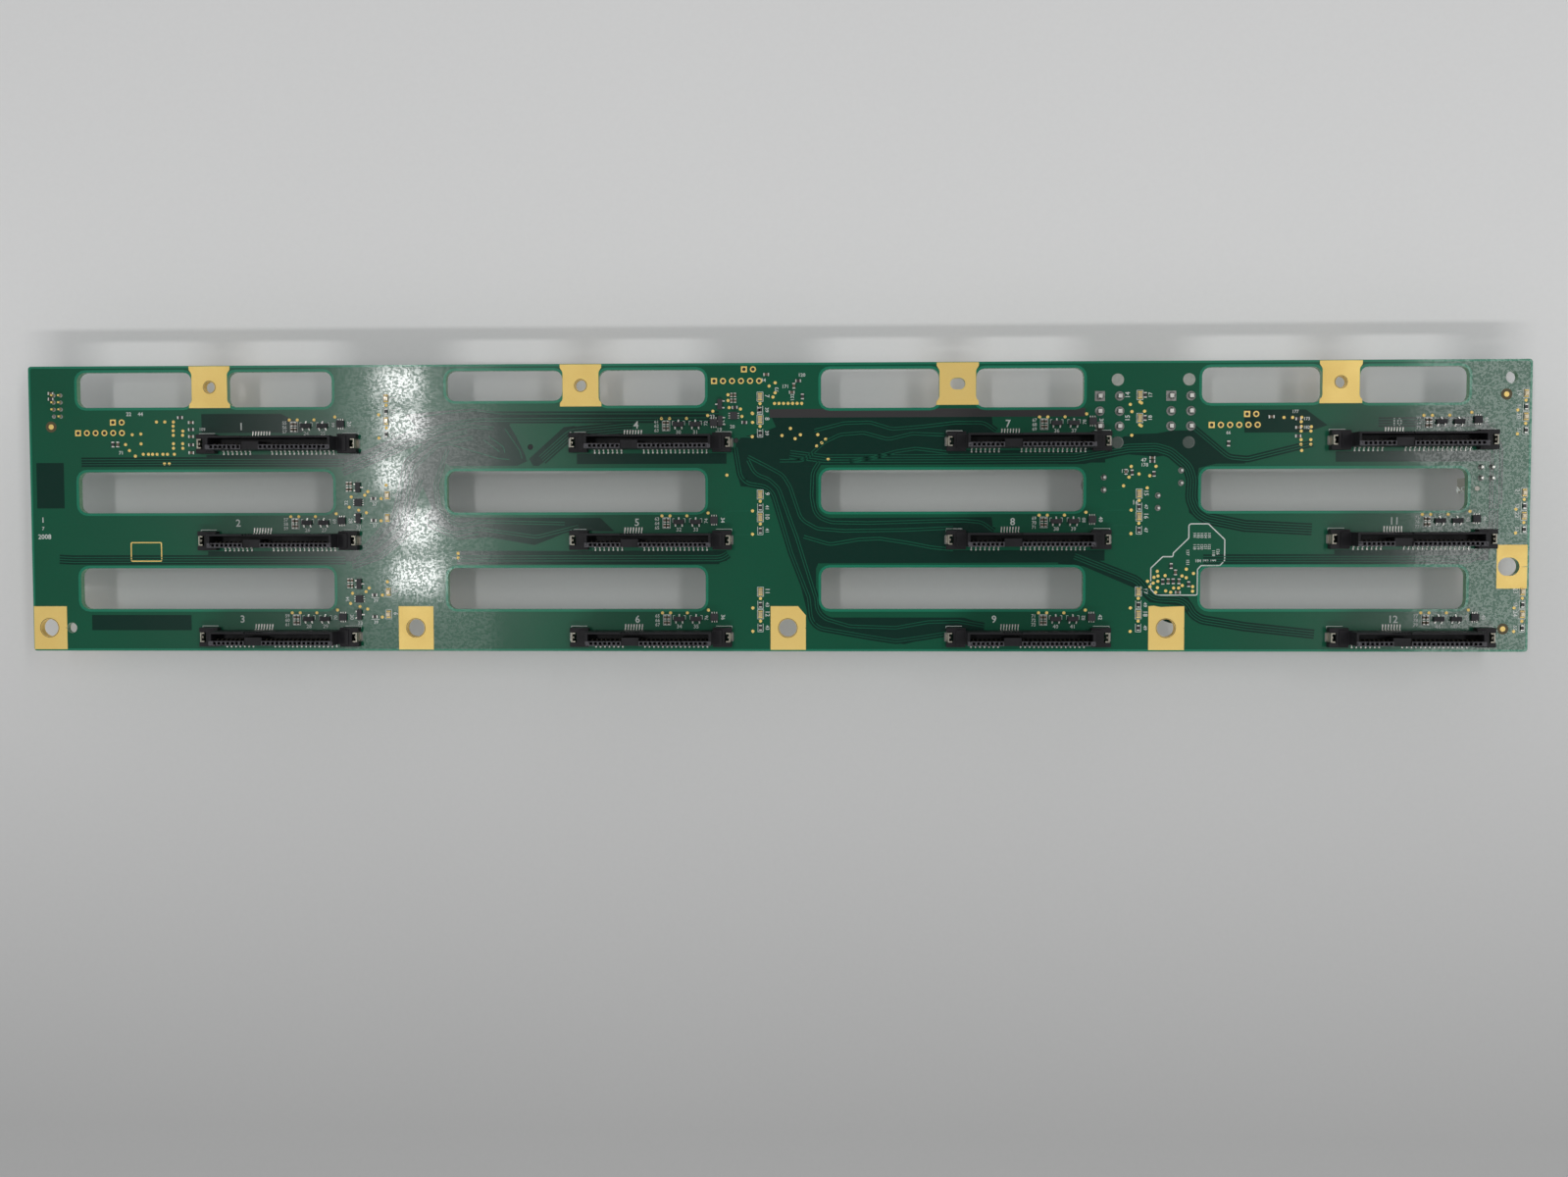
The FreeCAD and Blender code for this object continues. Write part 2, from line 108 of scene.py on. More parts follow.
def windows():
    """Corners of every airflow window: x0, x1, y0, y1."""
    spans = []
    top = BOARD_TOP - 1.85
    for c in range(4):
        centre = SOCKETS["%02d" % (3 * c + 1)][0] + WINDOW_OFFSET
        for side, (x0, x1) in enumerate(((centre - WINDOW_LENGTH / 2, TAB_X[c] - 5.2),
                                         (TAB_X[c] + 5.2, centre + WINDOW_LENGTH / 2))):
            spans.append((x0, x1, top - UPPER_HEIGHTS[2 * c + side], top))
        for r in (1, 2):
            y1 = SOCKETS["%02d" % (3 * c + r)][1] - WINDOW_DROP
            spans.append((centre - WINDOW_LENGTH / 2, centre + WINDOW_LENGTH / 2,
                          y1 - WINDOW_HEIGHT, y1))
    return spans


# ---------------------------------------------------------------- mesh helpers

class Stock:
    """Corners and faces of one piece, gathered in millimetres."""

    def __init__(self):
        self.points, self.faces = [], []

    def prism(self, outline, z0, z1):
        n, k = len(self.points), len(outline)
        area = sum(outline[i - 1][0] * outline[i][1] - outline[i][0] * outline[i - 1][1]
                   for i in range(k))
        if area < 0:
            outline = outline[::-1]
        self.points += [(x, y, z0) for x, y in outline] + [(x, y, z1) for x, y in outline]
        self.faces.append([n + i for i in range(k)][::-1])
        self.faces.append([n + k + i for i in range(k)])
        self.faces += [[n + i, n + (i + 1) % k, n + k + (i + 1) % k, n + k + i] for i in range(k)]
        return self

    def box(self, x0, x1, y0, y1, z0, z1):
        return self.prism([(x0, y0), (x1, y0), (x1, y1), (x0, y1)], z0, z1)

    def block(self, x, y, length, width, z0, z1):
        return self.box(x - length / 2, x + length / 2, y - width / 2, y + width / 2, z0, z1)

    def turned(self, x, y, profile, sides=16):
        """Closed turned shape; profile is (radius, z) from its lower to its upper pole."""
        n = len(self.points)
        self.points.append((x, y, profile[0][1]))
        for r, z in profile:
            self.points += [(x + r * math.cos(2 * math.pi * i / sides),
                             y + r * math.sin(2 * math.pi * i / sides), z) for i in range(sides)]
        self.points.append((x, y, profile[-1][1]))
        last = len(self.points) - 1
        for i in range(sides):
            j = (i + 1) % sides
            self.faces.append([n, n + 1 + j, n + 1 + i])
            for k in range(len(profile) - 1):
                a = n + 1 + k * sides
                self.faces.append([a + i, a + j, a + sides + j, a + sides + i])
            a = n + 1 + (len(profile) - 1) * sides
            self.faces.append([a + i, a + j, last])
        return self

    def ring(self, x, y, r0, r1, z0, z1, sides=20):
        """Flat ring with a square section."""
        n = len(self.points)
        for r, z in ((r0, z0), (r1, z0), (r1, z1), (r0, z1)):
            self.points += [(x + r * math.cos(2 * math.pi * i / sides),
                             y + r * math.sin(2 * math.pi * i / sides), z) for i in range(sides)]
        for k in range(4):
            for i in range(sides):
                j = (i + 1) % sides
                a, b = n + k * sides, n + (k + 1) % 4 * sides
                self.faces.append([a + i, a + j, b + j, b + i])
        return self

    def frame_strip(self, inner, outer, z0, z1):
        """Closed flat strip between two outlines with the same number of corners."""
        n, k = len(self.points), len(inner)
        for loop, z in ((inner, z0), (outer, z0), (outer, z1), (inner, z1)):
            self.points += [(x, y, z) for x, y in loop]
        for s in range(4):
            for i in range(k):
                j = (i + 1) % k
                a, b = n + s * k, n + (s + 1) % 4 * k
                self.faces.append([a + i, a + j, b + j, b + i])
        return self

    def mesh(self, name):
        data = bpy.data.meshes.new(name)
        data.from_pydata([(x * MM, y * MM, z * MM) for x, y, z in self.points], [], self.faces)
        return data


def rounded(x0, x1, y0, y1, radius, steps=4):
    corners = ((x1 - radius, y1 - radius, 0), (x0 + radius, y1 - radius, 90),
               (x0 + radius, y0 + radius, 180), (x1 - radius, y0 + radius, 270))
    return [(cx + radius * math.cos(math.radians(start + 90 * i / steps)),
             cy + radius * math.sin(math.radians(start + 90 * i / steps)))
            for cx, cy, start in corners for i in range(steps + 1)]


def finish_mesh(data, bevel=0.0, segments=1, join=False):
    """Recalculates the normals and rounds the hard edges."""
    bm = bmesh.new()
    bm.from_mesh(data)
    if join:
        bmesh.ops.remove_doubles(bm, verts=bm.verts, dist=1e-6)
        bmesh.ops.dissolve_limit(bm, angle_limit=0.01, verts=bm.verts, edges=bm.edges)
    bmesh.ops.recalc_face_normals(bm, faces=bm.faces)
    if bevel:
        hard = [e for e in bm.edges if len(e.link_faces) == 2 and e.calc_face_angle() > 0.6]
        bmesh.ops.bevel(bm, geom=hard, offset=bevel * MM, segments=segments, profile=0.5,
                        affect="EDGES", clamp_overlap=True)
    bm.to_mesh(data)
    bm.free()
    return data


def dress(data, material):
    """Gives a mesh one material in place of any that it has."""
    data.materials.clear()
    data.materials.append(material)


def piece(name, data, material, replaces=()):
    """One object at the origin that rides on the board."""
    data.name = name
    dress(data, material)
    obj = bpy.data.objects.new(name, data)
    bpy.context.scene.collection.objects.link(obj)
    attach(obj, BODY)
    if replaces:
        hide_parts(*replaces)
    return obj


def solid_from_cells(xs, ys, zs, inside):
    """Closed shape made of the cells of an uneven grid that lie inside."""
    xs, ys, zs = (sorted(set(round(v, 4) for v in vs)) for vs in (xs, ys, zs))
    filled = set()
    for i in range(len(xs) - 1):
        for j in range(len(ys) - 1):
            for k in range(len(zs) - 1):
                if inside((xs[i] + xs[i + 1]) / 2, (ys[j] + ys[j + 1]) / 2,
                          (zs[k] + zs[k + 1]) / 2):
                    filled.add((i, j, k))
    index, points, faces = {}, [], []

    def corner(i, j, k):
        if (i, j, k) not in index:
            index[(i, j, k)] = len(points)
            points.append((xs[i] * MM, ys[j] * MM, zs[k] * MM))
        return index[(i, j, k)]

    sides = (((1, 0, 0), ((1, 0, 0), (1, 1, 0), (1, 1, 1), (1, 0, 1))),
             ((-1, 0, 0), ((0, 0, 0), (0, 0, 1), (0, 1, 1), (0, 1, 0))),
             ((0, 1, 0), ((0, 1, 0), (0, 1, 1), (1, 1, 1), (1, 1, 0))),
             ((0, -1, 0), ((0, 0, 0), (1, 0, 0), (1, 0, 1), (0, 0, 1))),
             ((0, 0, 1), ((0, 0, 1), (1, 0, 1), (1, 1, 1), (0, 1, 1))),
             ((0, 0, -1), ((0, 0, 0), (0, 1, 0), (1, 1, 0), (1, 0, 0))))
    for i, j, k in sorted(filled):
        for (di, dj, dk), quad in sides:
            if (i + di, j + dj, k + dk) not in filled:
                faces.append([corner(i + a, j + b, k + c) for a, b, c in quad])
    data = bpy.data.meshes.new("cells")
    data.from_pydata(points, [], faces)
    return data


# ---------------------------------------------------------------- geometry node trees

def new_tree(name, sockets):
    tree = bpy.data.node_groups.new(name, "GeometryNodeTree")
    tree.interface.new_socket("Geometry", in_out="INPUT", socket_type="NodeSocketGeometry")
    for label, kind, value in sockets:
        made = tree.interface.new_socket(label, in_out="INPUT", socket_type=kind)
        if value is not None:
            made.default_value = value
    tree.interface.new_socket("Geometry", in_out="OUTPUT", socket_type="NodeSocketGeometry")
    return tree


def wire(tree, source, out, target, into):
    tree.links.new(source.outputs[out], target.inputs[into])


def copies_tree():
    """Copies of one small piece on the corners of a mesh, turned by the corner's own value."""
    if "board_copies" in bpy.data.node_groups:
        return bpy.data.node_groups["board_copies"]
    tree = new_tree("board_copies", (
        ("Piece", "NodeSocketObject", None), ("Turn Play", "NodeSocketFloat", 0.0), ("Seed", "NodeSocketInt", 5),
        ("Material", "NodeSocketMaterial", None)))
    new = tree.nodes.new
    start, end = new("NodeGroupInput"), new("NodeGroupOutput")
    info = new("GeometryNodeObjectInfo")
    info.transform_space = "ORIGINAL"
    turn = new("GeometryNodeInputNamedAttribute")
    turn.data_type = "FLOAT"
    turn.inputs["Name"].default_value = "turn"
    play = new("FunctionNodeRandomValue")
    play.data_type = "FLOAT"
    negative, total, angle = new("ShaderNodeMath"), new("ShaderNodeMath"), new("ShaderNodeCombineXYZ")
    negative.operation, total.operation = "MULTIPLY", "ADD"
    negative.inputs[1].default_value = -1.0
    place = new("GeometryNodeInstanceOnPoints")
    real, paint = new("GeometryNodeRealizeInstances"), new("GeometryNodeSetMaterial")
    wire(tree, start, "Piece", info, "Object")
    wire(tree, start, "Turn Play", negative, 0)
    for source, limit in ((negative.outputs[0], "Min"), (start.outputs["Turn Play"], "Max")):
        tree.links.new(source, [s for s in play.inputs if s.name == limit and s.type == "VALUE"][0])
    wire(tree, start, "Seed", play, "Seed")
    tree.links.new(turn.outputs["Attribute"], total.inputs[0])
    tree.links.new([s for s in play.outputs if s.type == "VALUE"][0], total.inputs[1])
    wire(tree, total, 0, angle, "Z")
    wire(tree, start, "Geometry", place, "Points")
    wire(tree, info, "Geometry", place, "Instance")
    wire(tree, angle, 0, place, "Rotation")
    wire(tree, place, 0, real, 0)
    wire(tree, real, 0, paint, "Geometry")
    wire(tree, start, "Material", paint, "Material")
    wire(tree, paint, 0, end, 0)
    return tree


def routes_tree():
    """Side-by-side strips that follow drawn routes, with every bend rounded."""
    if "board_routes" in bpy.data.node_groups:
        return bpy.data.node_groups["board_routes"]
    tree = new_tree("board_routes", (
        ("Strips", "NodeSocketInt", 1), ("Pitch", "NodeSocketFloat", 0.0004),
        ("Width", "NodeSocketFloat", 0.0002), ("Thickness", "NodeSocketFloat", 0.00003),
        ("Bend Radius", "NodeSocketFloat", 0.002), ("Material", "NodeSocketMaterial", None)))
    new = tree.nodes.new
    start, end = new("NodeGroupInput"), new("NodeGroupOutput")
    curve, bend = new("GeometryNodeMeshToCurve"), new("GeometryNodeFilletCurve")
    bend.mode = "POLY"
    bend.inputs["Count"].default_value = 5
    bend.inputs["Limit Radius"].default_value = True
    upright = new("GeometryNodeSetCurveNormal")
    upright.mode = "Z_UP"
    repeat = new("GeometryNodeDuplicateElements")
    repeat.domain = "SPLINE"
    normal, away, shift = new("GeometryNodeInputNormal"), new("ShaderNodeVectorMath"), new("GeometryNodeSetPosition")
    away.operation = "SCALE"
    less, half, gap, step = [new("ShaderNodeMath") for _ in range(4)]
    less.operation, half.operation, gap.operation, step.operation = "SUBTRACT", "MULTIPLY", "SUBTRACT", "MULTIPLY"
    less.inputs[1].default_value, half.inputs[1].default_value = 1.0, 0.5
    section, sweep = new("GeometryNodeCurvePrimitiveQuadrilateral"), new("GeometryNodeCurveToMesh")
    sweep.inputs["Fill Caps"].default_value = True
    real, paint = new("GeometryNodeRealizeInstances"), new("GeometryNodeSetMaterial")
    wire(tree, start, "Geometry", curve, "Mesh")
    wire(tree, curve, 0, bend, "Curve")
    wire(tree, start, "Bend Radius", bend, "Radius")
    wire(tree, bend, 0, upright, "Curve")
    wire(tree, upright, 0, repeat, "Geometry")
    wire(tree, start, "Strips", repeat, "Amount")
    wire(tree, start, "Strips", less, 0)
    wire(tree, less, 0, half, 0)
    wire(tree, repeat, "Duplicate Index", gap, 0)
    wire(tree, half, 0, gap, 1)
    wire(tree, gap, 0, step, 0)
    wire(tree, start, "Pitch", step, 1)
    wire(tree, normal, 0, away, 0)
    wire(tree, step, 0, away, "Scale")
    wire(tree, repeat, "Geometry", shift, "Geometry")
    wire(tree, away, 0, shift, "Offset")
    wire(tree, start, "Width", section, "Width")
    wire(tree, start, "Thickness", section, "Height")
    wire(tree, shift, 0, sweep, "Curve")
    wire(tree, section, 0, sweep, "Profile Curve")
    wire(tree, sweep, 0, real, 0)
    wire(tree, real, 0, paint, "Geometry")
    wire(tree, start, "Material", paint, "Material")
    wire(tree, paint, 0, end, 0)
    return tree


def grown(name, data, tree, values):
    """Runs a tree on a mesh and returns the result as a plain mesh."""
    seed = bpy.data.objects.new(name + "_seed", data)
    bpy.context.scene.collection.objects.link(seed)
    modifier = seed.modifiers.new("grow", "NODES")
    modifier.node_group = tree
    for item in tree.interface.items_tree:
        if item.in_out == "INPUT" and item.name in values:
            modifier[item.identifier] = values[item.name]
    bpy.context.view_layer.update()
    result = bpy.data.meshes.new_from_object(seed.evaluated_get(bpy.context.evaluated_depsgraph_get()))
    seed.modifiers.remove(modifier)
    bpy.data.objects.remove(seed)
    if "turn" in result.attributes:
        result.attributes.remove(result.attributes["turn"])
    return result


def copies(name, unit, places, material, replaces=(), play=0.0):
    """One piece made of many copies of unit; places are (x, y, z, turn in degrees)."""
    if not places:
        raise RuntimeError("no places for " + name)
    helper = bpy.data.objects.new(name + "_unit", unit)
    bpy.context.scene.collection.objects.link(helper)
    spots = bpy.data.meshes.new(name + "_spots")
    spots.from_pydata([(x * MM, y * MM, z * MM) for x, y, z, _ in places], [], [])
    turn = spots.attributes.new("turn", "FLOAT", "POINT")
    for i, (_, _, _, angle) in enumerate(places):
        turn.data[i].value = math.radians(angle)
    data = grown(name, spots, copies_tree(), {"Piece": helper, "Turn Play": play, "Seed": sizes().seed,
                                              "Material": material})
    bpy.data.objects.remove(helper)
    if len(data.polygons) < len(places):
        raise RuntimeError("no copies were made for " + name)
    return piece(name, data, material, replaces)


def strips(name, routes, z, material, count, pitch, width, thickness, bend):
    """Mesh of strips along routes, each a list of (x, y), resting on height z."""
    level = z + (thickness / 2 if z > FRONT / 2 else -thickness / 2)
    points, edges = [], []
    for route in routes:
        first = len(points)
        points += [(x * MM, y * MM, level * MM) for x, y in route]
        edges += [(first + i, first + i + 1) for i in range(len(route) - 1)]
    drawn = bpy.data.meshes.new(name + "_routes")
    drawn.from_pydata(points, edges, [])
    data = grown(name, drawn, routes_tree(), {
        "Strips": count, "Pitch": pitch * MM, "Width": width * MM, "Thickness": thickness * MM,
        "Bend Radius": bend * MM, "Material": material})
    if not data.polygons:
        raise RuntimeError("no strips were made for " + name)
    data.polygons.foreach_set("use_smooth", [False] * len(data.polygons))
    return data


BED_MARGIN, BED_LIFT, BED_STEP = 0.5, 0.012, 0.0006


def laid_bundles(name, bundles, z, cleared, copper, thickness):
    """Meshes of the cleared beds and of the track bundles on them; each bed lies a little over the one before."""
    pitch, width, bend = sizes().track_pitch, sizes().track_width, sizes().bend_radius
    beds, lines = [], []
    for i, (count, route) in enumerate(bundles):
        reach = bend + count * pitch / 2
        beds.append(strips("%sbed_%d" % (name, i), [route], z, cleared, 1, 1.0, count * pitch + BED_MARGIN,
                           BED_LIFT + BED_STEP * i, reach))
        lines.append(strips("%sbundle_%d" % (name, i), [route], z, copper, count, pitch, width, thickness, reach))
    return beds, lines


def joined(name, meshes, material):
    """Several meshes as one piece."""
    bm = bmesh.new()
    for data in meshes:
        bm.from_mesh(data)
    bmesh.ops.recalc_face_normals(bm, faces=bm.faces)
    out = bpy.data.meshes.new(name)
    bm.to_mesh(out)
    bm.free()
    return piece(name, out, material)


# ---------------------------------------------------------------- finishes

def shader_group(name, inputs, outputs):
    """Empty shader group with named sockets; returns it with its two ends, or None if it is there."""
    if name in bpy.data.node_groups:
        return bpy.data.node_groups[name], None, None
    tree = bpy.data.node_groups.new(name, "ShaderNodeTree")
    for label, kind, value in inputs:
        tree.interface.new_socket(label, in_out="INPUT", socket_type=kind).default_value = value
    for label, kind in outputs:
        tree.interface.new_socket(label, in_out="OUTPUT", socket_type=kind)
    return tree, tree.nodes.new("NodeGroupInput"), tree.nodes.new("NodeGroupOutput")


def feed(tree, socket, value):
    """Puts a value or another node's output into a socket."""
    if isinstance(value, bpy.types.NodeSocket):
        tree.links.new(value, socket)
    else:
        socket.default_value = value


def math_node(tree, operation, *values):
    node = tree.nodes.new("ShaderNodeMath")
    node.operation = operation
    for socket, value in zip(node.inputs, values):
        feed(tree, socket, value)
    return node.outputs[0]


def mixed(tree, share, first, second, blend="MIX"):
    """Colour between two colours, by a share from 0 to 1."""
    mix = tree.nodes.new("ShaderNodeMix")
    mix.data_type, mix.blend_type = "RGBA", blend
    for i, value in ((0, share), (6, first), (7, second)):
        feed(tree, mix.inputs[i], value)
    return mix.outputs[2]


def group_node(tree, group, values=()):
    """One use of a shader group, with the given inputs set."""
    node = tree.nodes.new("ShaderNodeGroup")
    node.node_tree = group
    for label, value in values:
        node.inputs[label].default_value = value
    return node


def noise(tree, scale, detail=3.0, squeeze=None):
    """Noise value on the object's own coordinates."""
    place, node = tree.nodes.new("ShaderNodeTexCoord"), tree.nodes.new("ShaderNodeTexNoise")
    source = place.outputs["Object"]
    if squeeze:
        mapping = tree.nodes.new("ShaderNodeMapping")
        mapping.inputs["Scale"].default_value = squeeze
        tree.links.new(source, mapping.inputs["Vector"])
        source = mapping.outputs[0]
    tree.links.new(source, node.inputs["Vector"])
    node.inputs["Detail"].default_value = detail
    feed(tree, node.inputs["Scale"], scale)
    return node.outputs["Fac"]


def colour_change():
    """Slow and fine change of colour and roughness over a surface."""
    tree, start, end = shader_group("colour_change", (
        ("Color", "NodeSocketColor", (0.5, 0.5, 0.5, 1)), ("Second Color", "NodeSocketColor", (0.4, 0.4, 0.4, 1)),
        ("Patch Scale", "NodeSocketFloat", 60.0), ("Fine Scale", "NodeSocketFloat", 2500.0),
        ("Amount", "NodeSocketFloat", 0.5), ("Roughness", "NodeSocketFloat", 0.5),
        ("Roughness Change", "NodeSocketFloat", 0.1)),
        (("Color", "NodeSocketColor"), ("Roughness", "NodeSocketFloat")))
    if start:
        slow = noise(tree, start.outputs["Patch Scale"], 4.0)
        fine = noise(tree, start.outputs["Fine Scale"], 2.0)
        both = math_node(tree, "ADD", math_node(tree, "MULTIPLY", slow, 0.65), math_node(tree, "MULTIPLY", fine, 0.35))
        wide = math_node(tree, "MULTIPLY", math_node(tree, "SUBTRACT", both, 0.5), 3.2)
        mask = math_node(tree, "MULTIPLY", math_node(tree, "ADD", wide, 0.5), start.outputs["Amount"])
        mask.node.use_clamp = True
        colour = mixed(tree, mask, start.outputs["Color"], start.outputs["Second Color"])
        tree.links.new(colour, end.inputs["Color"])
        rough = math_node(tree, "MULTIPLY", wide, start.outputs["Roughness Change"])
        rough = math_node(tree, "ADD", start.outputs["Roughness"], rough)
        rough.node.use_clamp = True
        tree.links.new(rough, end.inputs["Roughness"])
    return tree


def grain_height():
    """Height of a moulded or printed surface: fine grain, slow waviness and fine scratches."""
    tree, start, end = shader_group("grain_height", (
        ("Grain Scale", "NodeSocketFloat", 4000.0), ("Grain", "NodeSocketFloat", 0.5),
        ("Wave Scale", "NodeSocketFloat", 400.0), ("Wave", "NodeSocketFloat", 0.5),
        ("Scratches", "NodeSocketFloat", 0.0)), (("Height", "NodeSocketFloat"),))
    if start:
        fine = math_node(tree, "MULTIPLY", noise(tree, start.outputs["Grain Scale"], 2.0), start.outputs["Grain"])
        wave = math_node(tree, "MULTIPLY", noise(tree, start.outputs["Wave Scale"], 1.0), start.outputs["Wave"])
        lines = noise(tree, 900.0, 2.0, (1.0, 14.0, 1.0))
        lines = math_node(tree, "MULTIPLY", math_node(tree, "POWER", lines, 4.0), start.outputs["Scratches"])
        total = math_node(tree, "ADD", math_node(tree, "ADD", fine, wave), lines)
        tree.links.new(total, end.inputs["Height"])
    return tree


def edge_rub():
    """Rubbed places near a given height, broken up by noise."""
    tree, start, end = shader_group("edge_rub", (
        ("Color", "NodeSocketColor", (0, 0, 0, 1)), ("Rubbed Color", "NodeSocketColor", (0.2, 0.2, 0.2, 1)),
        ("Height", "NodeSocketFloat", 0.011), ("Reach", "NodeSocketFloat", 0.0003),
        ("Amount", "NodeSocketFloat", 0.5)), (("Color", "NodeSocketColor"), ("Mask", "NodeSocketFloat")))
    if start:
        place, parts = tree.nodes.new("ShaderNodeTexCoord"), tree.nodes.new("ShaderNodeSeparateXYZ")
        tree.links.new(place.outputs["Object"], parts.inputs[0])
        away = math_node(tree, "ABSOLUTE", math_node(tree, "SUBTRACT", parts.outputs[2], start.outputs["Height"]))
        near = math_node(tree, "SUBTRACT", 1.0, math_node(tree, "DIVIDE", away, start.outputs["Reach"]))
        near.node.use_clamp = True
        broken = math_node(tree, "GREATER_THAN", noise(tree, 1800.0, 4.0), 0.42)
        mask = math_node(tree, "MULTIPLY", math_node(tree, "MULTIPLY", near, broken), start.outputs["Amount"])
        colour = mixed(tree, mask, start.outputs["Color"], start.outputs["Rubbed Color"])
        tree.links.new(colour, end.inputs["Color"])
        tree.links.new(mask, end.inputs["Mask"])
    return tree


COAT_ROUGHNESS = 0.065


def finish(name, colour, second=None, rough=0.5, rough_change=0.08, metallic=0.0, coat=0.0, patch=60.0,
           fine=2500.0, amount=0.5, grain=(4000.0, 0.5, 400.0, 0.4, 0.0), depth=0.00002, rub=None,
           specular=0.5):
    """One material from the shared groups; every finish of the board has its own values."""
    if name in bpy.data.materials:
        return bpy.data.materials[name]
    mat = bpy.data.materials.new(name)
    mat.use_nodes = True
    tree = mat.node_tree
    shader = tree.nodes["Principled BSDF"]
    second = second or tuple(c * 0.75 for c in colour)
    change = group_node(tree, colour_change(), (
        ("Color", (*colour, 1)), ("Second Color", (*second, 1)), ("Patch Scale", patch), ("Fine Scale", fine),
        ("Amount", amount), ("Roughness", rough), ("Roughness Change", rough_change)))
    height = group_node(tree, grain_height(),
                        zip(("Grain Scale", "Grain", "Wave Scale", "Wave", "Scratches"), grain))
    bump = tree.nodes.new("ShaderNodeBump")
    bump.inputs["Distance"].default_value = depth
    tree.links.new(height.outputs[0], bump.inputs["Height"])
    tree.links.new(bump.outputs[0], shader.inputs["Normal"])
    tree.links.new(change.outputs["Roughness"], shader.inputs["Roughness"])
    out = change.outputs["Color"]
    if rub:
        worn = group_node(tree, edge_rub(),
                          zip(("Rubbed Color", "Height", "Reach", "Amount"), ((*rub[0], 1), *rub[1:])))
        tree.links.new(out, worn.inputs["Color"])
        out = worn.outputs["Color"]
    tree.links.new(out, shader.inputs["Base Color"])
    shader.inputs["Metallic"].default_value = metallic
    shader.inputs["Coat Weight"].default_value = coat
    shader.inputs["Coat Roughness"].default_value = COAT_ROUGHNESS
    shader.inputs["Specular IOR Level"].default_value = specular
    return mat


def gloss_specks():
    """Fine broken gloss of a sprayed mask, as a weight that changes over the surface."""
    tree, start, end = shader_group("gloss_specks", (
        ("Speck Scale", "NodeSocketFloat", 1700.0), ("Share", "NodeSocketFloat", 0.5),
        ("Strength", "NodeSocketFloat", 0.6)), (("Weight", "NodeSocketFloat"),))
    if start:
        specks = math_node(tree, "GREATER_THAN", noise(tree, start.outputs["Speck Scale"], 3.0), start.outputs["Share"])
        soft = math_node(tree, "ADD", math_node(tree, "MULTIPLY", specks, 0.72), 0.28)
        tree.links.new(math_node(tree, "MULTIPLY", soft, start.outputs["Strength"]), end.inputs["Weight"])
    return tree


def mask_finish(name, colour, second, **more):
    """Glossy solder mask with slow waves, fine grain and broken gloss."""
    values = dict(rough=0.24, rough_change=0.03, patch=35.0, fine=1500.0, amount=0.6,
                  grain=(2600.0, 0.55, 500.0, 0.7, 0.0), depth=0.000008, specular=0.3)
    values.update(more)
    mat = finish(name, colour, second, **values)
    tree = mat.node_tree
    gloss = group_node(tree, gloss_specks())
    tree.links.new(gloss.outputs["Weight"], tree.nodes["Principled BSDF"].inputs["Coat Weight"])
    return mat


def board_finish(colours):
    """Solder mask on the two faces and bare woven laminate on every cut edge."""
    if "board_mask_and_laminate" in bpy.data.materials:
        return bpy.data.materials["board_mask_and_laminate"]
    mask = tuple(colours.mask)
    mat = mask_finish("board_mask_and_laminate", mask, tuple(c * 0.78 for c in mask))
    tree, shader = mat.node_tree, mat.node_tree.nodes["Principled BSDF"]
    green = shader.inputs["Base Color"].links[0].from_socket
    facing, parts = tree.nodes.new("ShaderNodeNewGeometry"), tree.nodes.new("ShaderNodeSeparateXYZ")
    tree.links.new(facing.outputs["Normal"], parts.inputs[0])
    flat = math_node(tree, "GREATER_THAN", math_node(tree, "ABSOLUTE", parts.outputs[2]), 0.6)
    place, layers, ramp = (tree.nodes.new(kind) for kind in (
        "ShaderNodeTexCoord", "ShaderNodeTexWave", "ShaderNodeValToRGB"))
    layers.bands_direction = "Z"
    layers.inputs["Scale"].default_value = 900.0
    layers.inputs["Distortion"].default_value = 2.5
    layers.inputs["Detail"].default_value = 2.0
    ramp.color_ramp.elements[0].color = (0.05, 0.19, 0.11, 1)
    ramp.color_ramp.elements[1].color = (0.22, 0.42, 0.24, 1)
    tree.links.new(place.outputs["Object"], layers.inputs["Vector"])
    tree.links.new(layers.outputs["Fac"], ramp.inputs[0])
    tree.links.new(mixed(tree, flat, ramp.outputs[0], green), shader.inputs["Base Color"])
    return mat


def gold():
    return finish("gold_plate", (0.99, 0.735, 0.255), (0.91, 0.64, 0.2), rough=0.5, rough_change=0.1,
                  metallic=0.8, patch=120.0, amount=0.5, grain=(6000.0, 0.3, 250.0, 0.3, 1.2), depth=0.00002)


def solder():
    return finish("solder_joint", (0.36, 0.36, 0.345), (0.20, 0.20, 0.195), rough=0.4, metallic=0.8, patch=500.0,
                  grain=(5000.0, 0.4, 900.0, 0.8, 0.3), depth=0.00003)


def tin():
    return finish("tin_plate", (0.55, 0.53, 0.47), (0.36, 0.34, 0.29), rough=0.36, metallic=0.85, patch=600.0,
                  grain=(6000.0, 0.3, 700.0, 0.4, 0.8), depth=0.00001)


def clip_metal():
    return finish("clip_sheet_tin", (0.50, 0.475, 0.40), (0.30, 0.28, 0.23), rough=0.42, metallic=0.85, patch=350.0,
                  grain=(5000.0, 0.4, 600.0, 0.5, 1.0), depth=0.00002)


def socket_black():
    return finish("socket_moulding", (0.017, 0.016, 0.019), (0.008, 0.008, 0.009), rough=0.45, rough_change=0.1,
                  patch=300.0, fine=5000.0, amount=0.8, grain=(7000.0, 0.7, 900.0, 0.3, 0.4), depth=0.00002,
                  rub=((0.085, 0.082, 0.092), (FRONT + 9.15) * MM, 0.00018, 1.0), specular=0.25)


